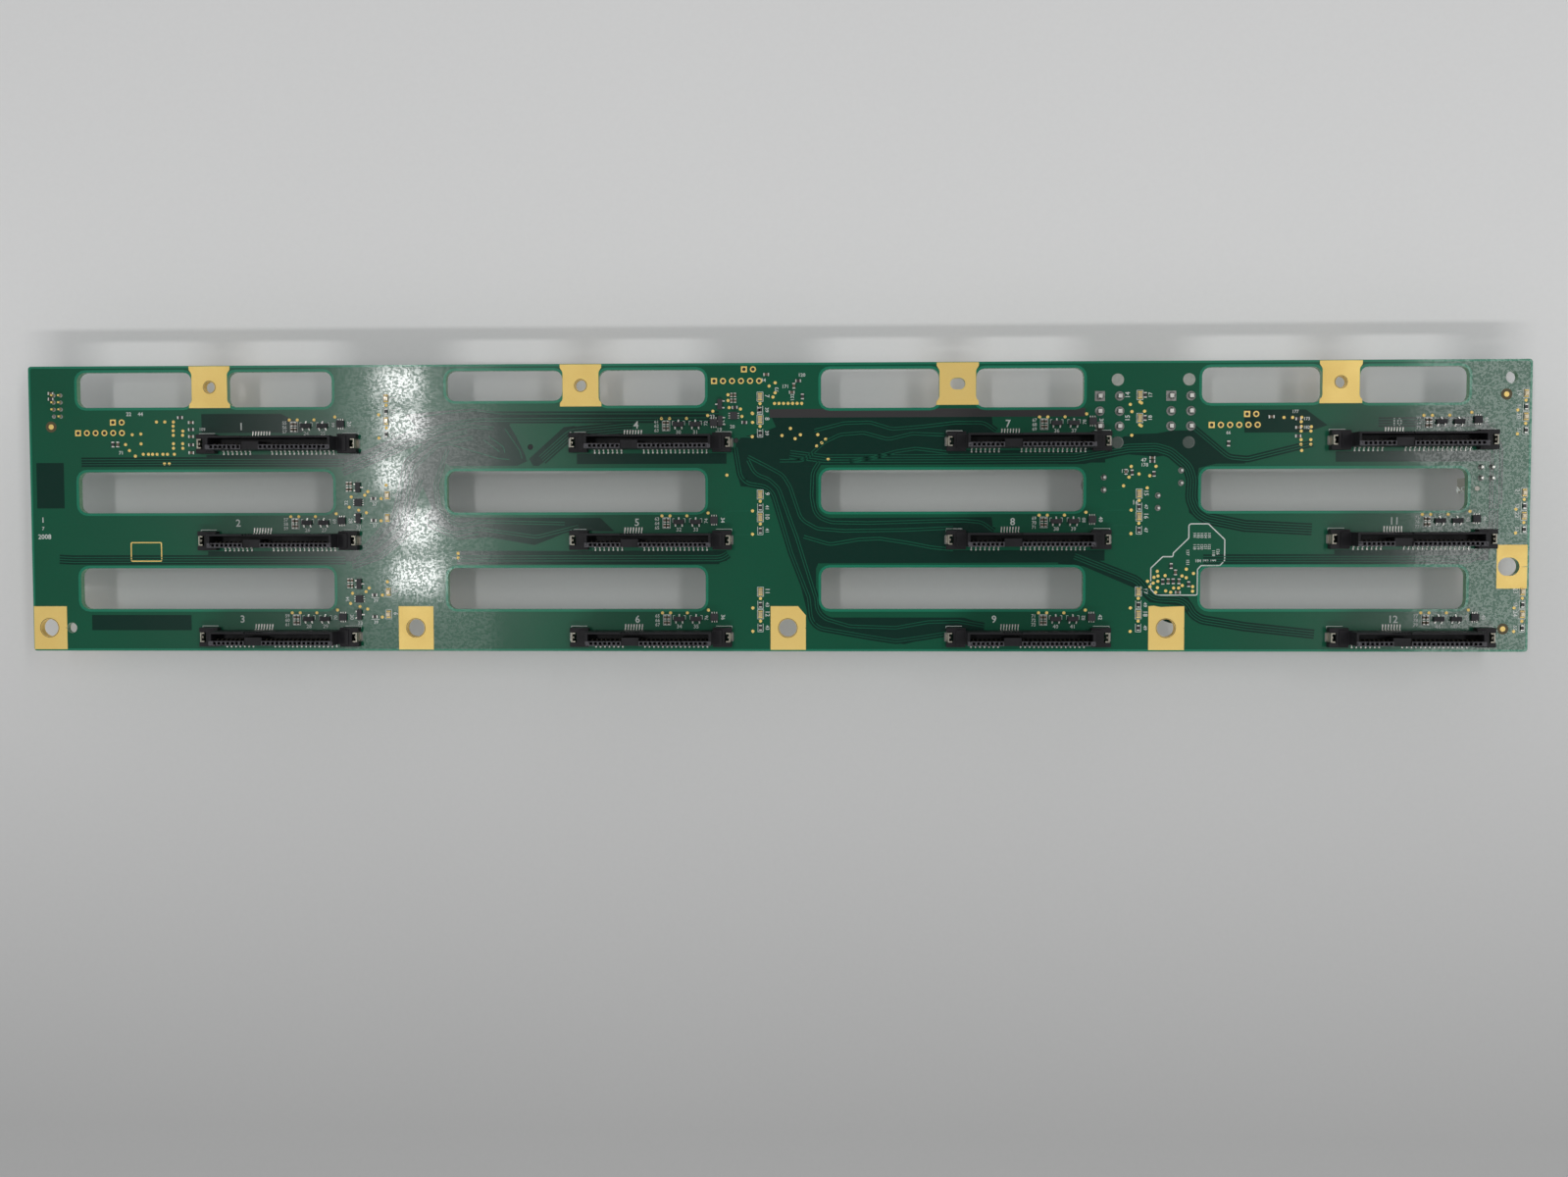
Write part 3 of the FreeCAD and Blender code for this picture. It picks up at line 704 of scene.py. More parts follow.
def package_black():
    return finish("package_epoxy", (0.022, 0.023, 0.026), (0.012, 0.012, 0.014), rough=0.55, patch=700.0,
                  grain=(9000.0, 0.8, 1500.0, 0.3, 0.0), depth=0.00001)


def ceramic():
    return finish("chip_ceramic", (0.16, 0.11, 0.075), (0.09, 0.065, 0.05), rough=0.45, patch=900.0,
                  grain=(9000.0, 0.6, 1500.0, 0.3, 0.0), depth=0.00001)


def resistor_black():
    return finish("chip_resistor_film", (0.025, 0.025, 0.028), (0.05, 0.045, 0.04), rough=0.4, patch=900.0,
                  grain=(9000.0, 0.6, 1500.0, 0.3, 0.0), depth=0.00001)


def print_white(colours):
    return finish("legend_ink", tuple(colours.print_ink), (0.45, 0.50, 0.47), rough=0.6, patch=250.0, amount=0.5,
                  grain=(6000.0, 0.6, 900.0, 0.3, 0.0), depth=0.00001)


def lens():
    return finish("light_lens_resin", (0.62, 0.50, 0.28), (0.45, 0.34, 0.17), rough=0.25, patch=800.0, coat=0.5,
                  grain=(5000.0, 0.3, 1500.0, 0.4, 0.0), depth=0.00001)


# ---------------------------------------------------------------- places of the small parts

# from a socket's centre and contact foot line
BODY_TRANSISTORS = [(7.9, 8.2), (12.7, 8.2)]
BODY_CHIP = (17.9, 8.7)
ARRAY = (4.4, 7.9)
NEAR_VIAS = [(3.1, 9.9), (5.4, 9.9), (10.2, 9.9), (16.2, 10.7)]
LIGHTS = [(31.0, 15.9), (31.0, 9.5)]
STRING_RESISTORS = [(31.0, 12.2), (31.0, 5.7)]
STRING_VIAS = [(31.0, 14.0), (31.0, 7.6), (28.8, 11.3), (28.8, 4.7)]
LEFT_CLUSTER_VIAS = [(25.4, 17.0), (24.5, 16.0), (20.6, 15.5), (20.0, 12.6), (22.7, 11.7), (24.9, 11.0),
                     (29.2, 15.0), (29.1, 8.7), (30.7, 18.8)]
LEFT_CLUSTER_RESISTORS = [(27.1, 15.0), (27.1, 8.8)]
LEFT_CLUSTER_TRANSISTORS = [(22.7, 18.2), (22.7, 9.4)]
LEFT_CLUSTER_CHIP = (22.7, 13.9)
LEFT_CLUSTER_ARRAY = (20.1, 18.4)
LEFT_CLUSTER = ("02", "03")
LOWEST_ROW = SLOTS[2::3]
NO_STRING = ("02", "03", "07")

HEAD_VIAS = [(-11.4, -2.8), (-11.4, -4.4), (-11.1, -6.4), (-7.9, -6.8), (-15.7, -7.4), (-7.5, -8.9), (-4.5, -8.1),
             (-4.5, -10.6), (0.2, -0.4), (1.9, 0.5), (1.9, -2.3), (1.3, -3.5)]
HEAD_VIAS += [(1.7 + 1.28 * i, -5.3) for i in range(7)]
LEFT_VIAS = [(-175.0, -9.8), (-172.6, -9.8), (-170.1, -9.8), (-170.2, -11.0), (-170.2, -12.3), (-170.2, -13.6),
             (-167.4, -12.4), (-167.5, -13.6), (-170.2, -16.0), (-167.5, -16.0), (-170.2, -17.3), (-167.5, -17.3),
             (-170.0, -19.0), (-179.0, -19.0), (-177.5, -19.0), (-176.3, -19.0), (-175.0, -19.0), (-173.3, -19.0),
             (-172.0, -19.0), (-181.3, -19.5), (-183.0, -17.9), (-184.1, -16.2), (-179.6, -16.0), (-179.6, -13.2),
             (-182.1, -13.4), (-172.9, -21.7), (-171.5, -21.7)]
MIDDLE_VIAS = [(6.2, -12.3), (3.8, -14.3), (9.0, -14.1), (7.5, -15.2), (13.9, -14.1), (16.1, -15.4), (15.0, -16.4),
               (13.6, -17.3), (16.8, -21.0), (-11.8, -25.4), (101.3, -6.0), (104.4, -5.6), (105.3, -7.9),
               (104.4, -12.0), (101.7, -23.3), (108.6, -23.3), (103.9, -25.4), (99.6, -28.7), (106.2, -29.3),
               (106.9, -25.9), (101.1, -26.3)]
CORNER_VIAS = [(109.2, -52.7), (108.3, -54.4), (109.4, -54.0), (106.5, -55.5), (108.1, -56.0), (109.4, -55.5),
               (107.2, -57.0), (109.3, -57.3), (108.8, -58.6), (111.4, -53.9), (116.1, -54.0), (117.3, -52.1),
               (119.3, -53.3), (117.3, -54.5), (116.2, -56.7), (113.8, -57.4), (115.2, -57.4), (113.0, -58.6),
               (111.6, -58.2), (119.1, -57.0), (119.1, -58.3), (-88.6, -47.4), (-88.6, -48.7)]
# first hole and number of holes of each long row, then the first hole of its pair
RING_ROWS = [((-197.8, -12.9), 6, (-187.63, -9.9)), ((-15.35, 1.06), 6, (-6.88, 4.3)),
             ((123.93, -11.8), 6, (133.7, -8.8))]
RING_PITCH, PAIR_PITCH = 2.546, 2.54
SLOT_NUMBERS = (-10.8, -12.1, -11.3, -4.1, -4.0, -4.0, -5.7, -4.3, -9.4, -4.3, -4.6, -4.6)
FIDUCIALS = [(-205.6, -11.1), (205.0, -3.6), (205.1, -68.9)]


def over_sockets(offsets, skip=(), only=SLOTS):
    """Places at the same offsets from many sockets."""
    return [(SOCKETS[n][0] + dx, SOCKETS[n][1] + dy) for n in only if n not in skip for dx, dy in offsets]


def four_round(x, y, dx, dy):
    """Four places round a middle."""
    return [(x + a, y + b) for a in (-dx, dx) for b in (-dy, dy)]


def box_route(x0, x1, y0, y1):
    """Closed route round a rectangle."""
    return [(x0, y0), (x1, y0), (x1, y1), (x0, y1), (x0, y0)]


def both_faces(thick):
    """Lower and upper height of a layer on the front and on the rear of the board."""
    return (FRONT, FRONT + thick), (REAR - thick, REAR)


def on_front(points, turn=0.0, lift=0.0):
    return [(x, y, FRONT + lift, turn) for x, y in points]


# ---------------------------------------------------------------- sizes and colours a user may change

class BackplaneSizes(bpy.types.PropertyGroup):
    """Sizes of the detail that lies on the board."""
    rim_width: FloatProperty(name="Rim Width", description="Width of the bare rim round every window", default=0.75,
                             min=0.2, max=1.5)
    track_width: FloatProperty(name="Track Width", description="Width of one copper track in millimetres",
                               default=0.26, min=0.1, max=0.5)
    track_pitch: FloatProperty(name="Track Pitch", description="Spacing of tracks in a bundle in millimetres",
                               default=0.72, min=0.25, max=1.5)
    bend_radius: FloatProperty(name="Bend Radius", description="Radius of the bends of a bundle in millimetres",
                               default=4.0, min=0.5, max=12.0)
    via_diameter: FloatProperty(name="Test Pad Diameter", description="Diameter of a round test pad in millimetres",
                                default=0.9, min=0.4, max=1.6)
    legend_line: FloatProperty(name="Legend Line", description="Width of the printed lines in millimetres",
                               default=0.16, min=0.08, max=0.4)
    slot_number_height: FloatProperty(name="Slot Number Height", default=2.1, min=1.0, max=4.0,
                                      description="Height of the slot numbers in millimetres")
    seed: IntProperty(name="Seed", description="Seed of the small turns of hand-placed parts", default=5, min=0)


class BackplaneColours(bpy.types.PropertyGroup):
    """Colours of the board's finishes."""
    mask: FloatVectorProperty(name="Solder Mask", description="Green of the solder mask over the copper plane",
                              subtype="COLOR", size=3, min=0, max=1, default=(0.0075, 0.106, 0.055))
    corridor: FloatVectorProperty(name="Track Corridor", description="Green where the plane is cleared for tracks",
                                  subtype="COLOR", size=3, min=0, max=1, default=(0.005, 0.036, 0.025))
    rim: FloatVectorProperty(name="Window Rim", description="Green of the mask over bare laminate", subtype="COLOR",
                             size=3, min=0, max=1, default=(0.012, 0.22, 0.125))
    print_ink: FloatVectorProperty(name="Legend Ink", description="White of the printed legend", subtype="COLOR",
                                   size=3, min=0, max=1, default=(0.70, 0.74, 0.71))


class BackplaneStage(bpy.types.PropertyGroup):
    """Lamps, floor and camera."""
    lamp_power: FloatProperty(name="Lamp Power", description="Power of each long lamp", default=15.0, min=0.5,
                              max=60.0, unit="POWER")
    small_lamp_power: FloatProperty(name="Small Lamp Power", description="Power of each of the five small lamps",
                                    default=0.3, min=0.0, max=10.0, unit="POWER")
    lamp_height: FloatProperty(name="Lamp Height", description="Height of the lamps over the floor", default=1.5,
                               min=0.4, max=4.0, unit="LENGTH")
    room_level: FloatProperty(name="Room Level", description="Strength of the even light of the room", default=0.68,
                              min=0.0, max=1.5)
    lens: FloatProperty(name="Lens", description="Focal length of the camera in millimetres", default=34.15,
                        min=15.0, max=120.0)


def sizes():
    return bpy.context.scene.backplane_sizes


def colours():
    return bpy.context.scene.backplane_colours


# ---------------------------------------------------------------- operators, one for each group of pieces

RIM_THICKNESS, PLATE_THICKNESS = 0.03, 0.05


class BACKPLANE_OT_board(bpy.types.Operator):
    """Gives the board its mask and laminate, and lays the bare rims round its windows and edges"""
    bl_idname = "backplane.board"
    bl_label = "Board and Rims"

    def execute(self, context):
        dress(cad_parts["circuit_board"].data, board_finish(colours()))
        width, layers = sizes().rim_width, both_faces(RIM_THICKNESS)
        rims = Stock()
        for x0, x1, y0, y1 in windows():
            inner = rounded(x0 - 0.02, x1 + 0.02, y0 - 0.02, y1 + 0.02, 2.42)
            outer = rounded(x0 - width, x1 + width, y0 - width, y1 + width, 2.4 + width)
            for z0, z1 in layers:
                rims.frame_strip(inner, outer, z0, z1)
        x0, x1, y0, y1 = BOARD_LEFT, BOARD_RIGHT, BOARD_BOTTOM, BOARD_TOP
        for z0, z1 in layers:
            rims.frame_strip(rounded(x0 + 0.6, x1 - 0.6, y0 + 0.6, y1 - 0.6, 0.6),
                             rounded(x0 + 0.02, x1 - 0.02, y0 + 0.02, y1 - 0.02, 0.8), z0, z1)
        rim = tuple(colours().rim)
        mat = mask_finish("mask_over_laminate", rim, tuple(c * 0.85 for c in rim), rough=0.3)
        piece("window_rims", finish_mesh(rims.mesh("rims")), mat)
        return {"FINISHED"}


class BACKPLANE_OT_tracks(bpy.types.Operator):
    """Lays the cleared corridors and the bundles of copper tracks under the mask"""
    bl_idname = "backplane.tracks"
    bl_label = "Track Bundles"

    bundles = (
        # tracks, route
        (2, [(-121.4, -22.6), (-114.1, -19.6), (-100.0, -12.9), (-95.0, -11.9), (-88.3, -10.3), (-83.3, -9.6),
             (-14.0, -9.6)]),
        (2, [(-121.4, -24.4), (-113.0, -21.0), (-100.6, -15.7), (-93.4, -12.7), (-86.7, -11.2), (-78.0, -12.0)]),
        (2, [(-117.0, -47.2), (-114.2, -45.0), (-106.6, -36.7), (-104.8, -29.1), (-103.2, -21.7), (-95.6, -15.4),
             (-85.6, -12.8)]),
        (2, [(-118.0, -49.4), (-112.3, -45.8), (-104.9, -39.5), (-103.1, -31.8), (-101.6, -23.6), (-94.0, -16.8),
             (-84.0, -14.6)]),
        (2, [(-119.0, -51.0), (-111.2, -48.3), (-103.0, -41.7), (-100.9, -31.3), (-98.9, -26.4)]),
        (2, [(-91.2, -17.9), (-92.9, -22.0), (-95.0, -28.0), (-94.2, -34.1), (-91.5, -37.4), (-88.8, -39.9),
             (-82.6, -38.4),
             (-58.0, -39.0)]),
        (2, [(-97.7, -38.0), (-90.2, -42.0), (-82.7, -40.4), (-66.0, -42.8), (-54.0, -39.8)]),
        (4, [(-64.4, -20.8), (-56.0, -13.4), (-40.0, -12.0), (-38.5, -12.0)]),
        (3, [(-88.6, -48.9), (-13.0, -48.9), (-11.6, -47.6)]),
        (2, [(-9.3, -17.7), (-7.9, -26.1), (-5.9, -27.8), (0.8, -28.8), (6.4, -47.4), (11.3, -60.0), (12.0, -66.3),
             (14.0, -68.6), (28.1, -71.1), (36.0, -72.3), (43.9, -71.2), (51.2, -70.0)]),
        (2, [(-5.8, -21.2), (-3.9, -25.1), (0.1, -26.6), (2.8, -29.1), (7.9, -42.9), (13.4, -60.5), (13.6, -64.2),
             (16.2, -66.2), (23.0, -68.2), (36.0, -68.6), (45.0, -67.0), (53.4, -66.8), (60.8, -68.1)]),
        (2, [(-5.8, -20.2), (-0.9, -22.7), (4.0, -25.4), (6.0, -28.6), (9.2, -38.0), (13.8, -40.6), (21.2, -41.2),
             (38.1, -41.0), (52.0, -40.4)]),
        (2, [(14.2, -21.8), (12.4, -24.7), (12.1, -31.6), (13.2, -37.2), (17.8, -38.8), (28.0, -39.0), (47.1, -38.5),
             (55.0, -38.4), (60.0, -38.8), (63.4, -41.3)]),
        (2, [(9.9, -42.8), (17.3, -45.0), (25.7, -43.6), (31.4, -43.4), (39.3, -44.6), (46.0, -45.9), (51.1, -46.4)]),
        (2, [(3.2, -21.4), (10.0, -21.4), (15.6, -16.3), (20.2, -14.1), (26.9, -13.6), (33.7, -15.5), (40.4, -13.9),
             (49.4, -14.3)]),
        (2, [(12.9, -13.0), (21.3, -10.9), (28.6, -10.7), (34.8, -12.6), (43.8, -11.9), (52.7, -10.9), (60.6, -10.9),
             (63.9, -13.3)]),
        (2, [(22.9, -21.6), (29.7, -20.6), (35.9, -18.9), (41.5, -18.1), (50.5, -19.2)]),
        (4, [(6.0, -19.6), (16.0, -20.9), (50.0, -20.9), (86.0, -20.8), (101.0, -18.2), (108.7, -18.0), (112.6, -19.2),
             (117.6, -23.4), (118.7, -27.0), (118.4, -32.4), (120.0, -36.2), (123.0, -37.9), (133.4, -40.0),
             (152.0, -41.0)]),
        (2, [(118.9, -12.6), (128.7, -20.9), (134.0, -21.4), (152.0, -17.0)]),
        (3, [(86.0, -48.4), (103.6, -55.3), (105.4, -57.5), (108.1, -60.3), (117.2, -60.7), (119.0, -64.6),
             (121.6, -66.3),
             (133.8, -68.3), (153.0, -70.4)]),
        (3, [(-204.0, -49.0), (-200.0, -49.2), (-121.0, -49.2)]),
        (3, [(-197.0, -21.2), (-164.0, -21.2), (-121.0, -21.4)]),
        (3, [(170.0, -11.2), (198.0, -11.2), (203.0, -18.0), (203.0, -34.0)]),
        (3, [(122.0, -49.3), (196.0, -49.3), (202.0, -44.0), (202.0, -20.0)]),
    )
    fine = (
        [(-98.9, -8.6), (-91.1, -7.6), (-83.3, -6.9), (-76.0, -7.9), (-14.0, -8.1)],
        [(-97.6, -36.8), (-96.0, -39.6), (-88.8, -43.2), (-82.7, -41.9)],
        [(-73.4, -11.0), (-69.1, -18.2), (-68.6, -21.2)], [(-74.8, -12.1), (-70.6, -18.4), (-70.0, -20.6)],
        [(-79.5, -14.2), (-75.2, -17.3), (-74.9, -18.9)], [(-81.0, -15.2), (-76.4, -18.6)],
        [(-91.2, -16.3), (-76.9, -20.5), (-73.6, -20.8)], [(-104.6, -29.6), (-104.2, -25.0)],
        [(-126.4, -10.4), (-121.0, -7.4), (-112.6, -7.4)],
        [(-117.6, -13.0), (-113.0, -13.0), (-110.0, -15.6)],
        [(122.0, 5.3), (196.0, 5.3), (203.4, 2.0), (205.0, -1.4)],
        [(15.0, 5.2), (88.0, 5.2)],
        [(-93.0, 5.3), (-18.0, 5.3)],
        [(-196.0, 5.3), (-124.0, 5.3)],
        [(88.6, -5.9), (96.0, -5.9), (101.3, -5.9)], [(89.0, -9.8), (96.0, -9.8), (102.0, -9.8)],
        [(86.0, -11.4), (89.0, -11.4)],
        [(94.2, -30.0), (98.0, -30.0), (101.0, -28.7)],
        [(88.0, -39.8), (98.0, -39.8), (101.0, -39.8)],
        [(63.0, -40.0), (89.0, -40.0)],
    )
    # outlines of the wide places where the plane is cleared
    wide = (
        [(-103.3, -8.0), (-93.3, -7.0), (-83.8, -6.4), (-78.3, -7.2), (-14.0, -7.4), (-14.0, -10.7), (-73.4, -10.6),
         (-68.3, -21.2), (-71.4, -22.6), (-90.8, -22.6), (-95.7, -18.2), (-100.1, -15.4), (-115.8, -21.6),
         (-123.6, -22.4), (-123.6, -20.1), (-114.6, -18.0), (-100.0, -11.6)],
        [(-89.3, -37.2), (-47.8, -37.4), (-43.9, -41.2), (-56.6, -41.1), (-61.6, -43.2), (-66.6, -45.1), (-79.9, -42.8),
         (-88.8, -43.6), (-90.5, -41.8)],
        [(-88.9, -46.7), (-14.0, -46.9), (-14.0, -50.6), (-88.9, -50.6)],
        [(-118.6, -46.0), (-114.5, -44.4), (-106.8, -36.5), (-105.0, -29.0), (-104.4, -24.4), (-103.0, -21.1),
         (-95.6, -15.2), (-91.2, -14.9), (-91.2, -18.2), (-93.5, -22.6), (-95.3, -28.0), (-94.3, -34.6), (-91.5, -38.0),
         (-88.8, -40.2), (-88.8, -43.5), (-97.1, -40.1), (-98.2, -36.8), (-95.9, -34.6), (-99.2, -26.9),
         (-100.9, -32.4), (-102.7, -41.7), (-111.2, -48.9), (-118.6, -51.6)],
        [(-68.0, -20.6), (-58.0, -11.7), (-55.2, -11.4), (-45.3, -13.2), (-55.8, -15.6), (-65.3, -22.7),
         (-66.9, -22.6)],
        [(81.4, -20.2), (87.3, -18.3), (96.0, -16.8), (100.9, -14.3), (108.7, -14.1), (113.1, -13.3), (120.4, -13.3),
         (128.2, -20.1), (133.3, -21.0), (133.3, -22.6), (125.3, -22.6), (120.5, -23.8), (119.9, -28.4), (120.3, -34.3),
         (123.0, -37.0), (133.4, -38.6), (133.5, -41.8), (122.0, -39.2), (117.9, -36.3), (117.3, -31.4),
         (117.3, -24.5), (112.6, -20.1), (108.7, -20.6), (100.5, -19.9), (88.7, -22.6), (81.4, -22.6)],
        [(81.5, -48.2), (89.4, -49.2), (104.1, -54.5), (106.1, -56.7), (109.0, -59.5), (117.8, -59.9), (120.3, -64.1),
         (123.3, -65.4), (133.8, -67.0), (133.8, -69.7), (120.9, -67.3), (117.7, -64.8), (115.9, -62.4),
         (107.1, -61.4), (103.1, -57.5), (88.4, -51.2), (81.5, -50.6)],
        [(0.9, -9.2), (62.8, -9.2), (63.1, -13.9), (51.1, -13.9), (51.0, -18.6), (70.7, -18.6), (70.7, -22.6),
         (14.0, -22.6), (13.9, -23.2), (7.5, -22.7), (-7.9, -28.6), (-8.6, -26.1), (-9.3, -20.7), (-9.3, -16.8),
         (-7.8, -14.8), (-0.9, -13.1), (2.1, -11.9)],
        [(-7.9, -28.6), (7.5, -22.7), (13.4, -23.2), (13.4, -36.5), (14.3, -37.6), (62.8, -37.4), (63.4, -42.2),
         (51.1, -42.2), (51.1, -47.0), (71.9, -47.2), (83.1, -48.6), (83.1, -50.2), (14.0, -50.4), (13.4, -51.9),
         (13.4, -63.3), (14.0, -65.4), (15.9, -65.7), (55.1, -65.7), (60.8, -67.6), (60.8, -69.9), (51.2, -70.0),
         (38.3, -73.3), (29.8, -71.9), (14.5, -69.2), (13.1, -68.3), (11.4, -66.3), (6.4, -46.4), (1.0, -29.1)],
        [(-162.0, -7.6), (-139.0, -7.6), (-133.0, -10.6), (-133.0, -13.0), (-162.0, -13.0)],
        [(133.0, -7.6), (150.0, -7.6), (156.0, -12.0), (150.0, -14.0), (133.0, -14.0)],
    )

    def execute(self, context):
        made = colours()
        dark, green = tuple(made.corridor), tuple(made.mask)
        cleared = mask_finish("mask_over_cleared_plane", dark, tuple(c * 0.8 for c in dark), rough=0.2)
        copper = mask_finish("mask_over_tracks", tuple(c * 0.2 + d * 1.15 for c, d in zip(dark, green)),
                             tuple(c * 1.5 for c in dark), rough=0.24)
        beds, lines = laid_bundles("", self.bundles, FRONT, cleared, copper, 0.055)
        for n in SLOTS:
            x, y = SOCKETS[n]
            if n in LOWEST_ROW:
                continue
            route = [(x - 21.0, y - 1.4), (x + 21.5, y - 1.4)]
            beds.append(strips("socket_bed_" + n, [route], FRONT, cleared, 1, 1.0, 3.0, 0.01, 1.0))
            link = [(x + 21.0, y + 4.6), (x + 28.6, y + 4.6)]
            more = [(x + 19.6, y + 9.2), (x + 21.6, y + 11.2), (x + 28.6, y + 11.3)]
            lines.append(strips("light_tracks_" + n, [link, more], FRONT, copper, 1, 0.5, 0.3, 0.03, 0.8))
        lines.append(strips("fine_tracks", list(self.fine), FRONT, copper, 1, 0.5, 0.3, 0.03, 1.5))
        joined("track_corridors", beds, cleared)
        joined("copper_tracks", lines, copper)
        # A thin brown-grey strip laid flat on the front face.
        strip = Stock().box(0.3, 88.8, -9.3, -6.9, FRONT, FRONT + 0.02)
        brown = mask_finish("brown_grey_strip_finish", (0.045, 0.042, 0.043), (0.035, 0.034, 0.036), rough=0.4)
        piece("bare_strip", finish_mesh(strip.mesh("strip")), brown)
        dark_box = Stock()
        for i, outline in enumerate(self.wide):
            dark_box.prism(outline, FRONT, FRONT + 0.005 + 0.0004 * i)
        dark_box.box(-210.2, -202.2, -34.4, -21.4, FRONT, FRONT + 0.02)
        dark_box.block(-180.4, -67.2, 29.0, 4.4, FRONT, FRONT + 0.02)
        piece("cleared_fields", finish_mesh(dark_box.mesh("fields")), cleared)
        return {"FINISHED"}


def holed_pad(outline, cx, cy, radius, z0, z1, travel=0.0, sides=24):
    """Pad with a round or slotted hole, as an upper and a lower half joined on one line."""
    stock = Stock()
    top = [p for p in outline if p[1] > cy]
    bottom = [p for p in outline if p[1] < cy]
    left, right = min(p[0] for p in outline), max(p[0] for p in outline)
    half_left = min(outline, key=lambda p: (abs(p[1] - cy), p[0]))[0]
    waist = max(abs(half_left - cx), 0.1)
    arc = [(cx + (travel / 2 if math.cos(a) > 0 else -travel / 2) + radius * math.cos(a), cy + radius * math.sin(a))
           for a in (math.pi * i / (sides // 2) for i in range(sides // 2 + 1))]
    edge_l = max(left, cx - waist)
    edge_r = min(right, cx + waist)
    upper = [(edge_r, cy)] + sorted_round(top, cx, cy) + [(edge_l, cy)] + arc[::-1]
    lower = [(edge_l, cy)] + sorted_round(bottom, cx, cy) + [(edge_r, cy)] + [(x, 2 * cy - y) for x, y in arc]
    stock.prism(upper, z0, z1)
    stock.prism(lower, z0, z1)
    return stock


def sorted_round(points, cx, cy):
    return sorted(points, key=lambda p: math.atan2(p[1] - cy, p[0] - cx))


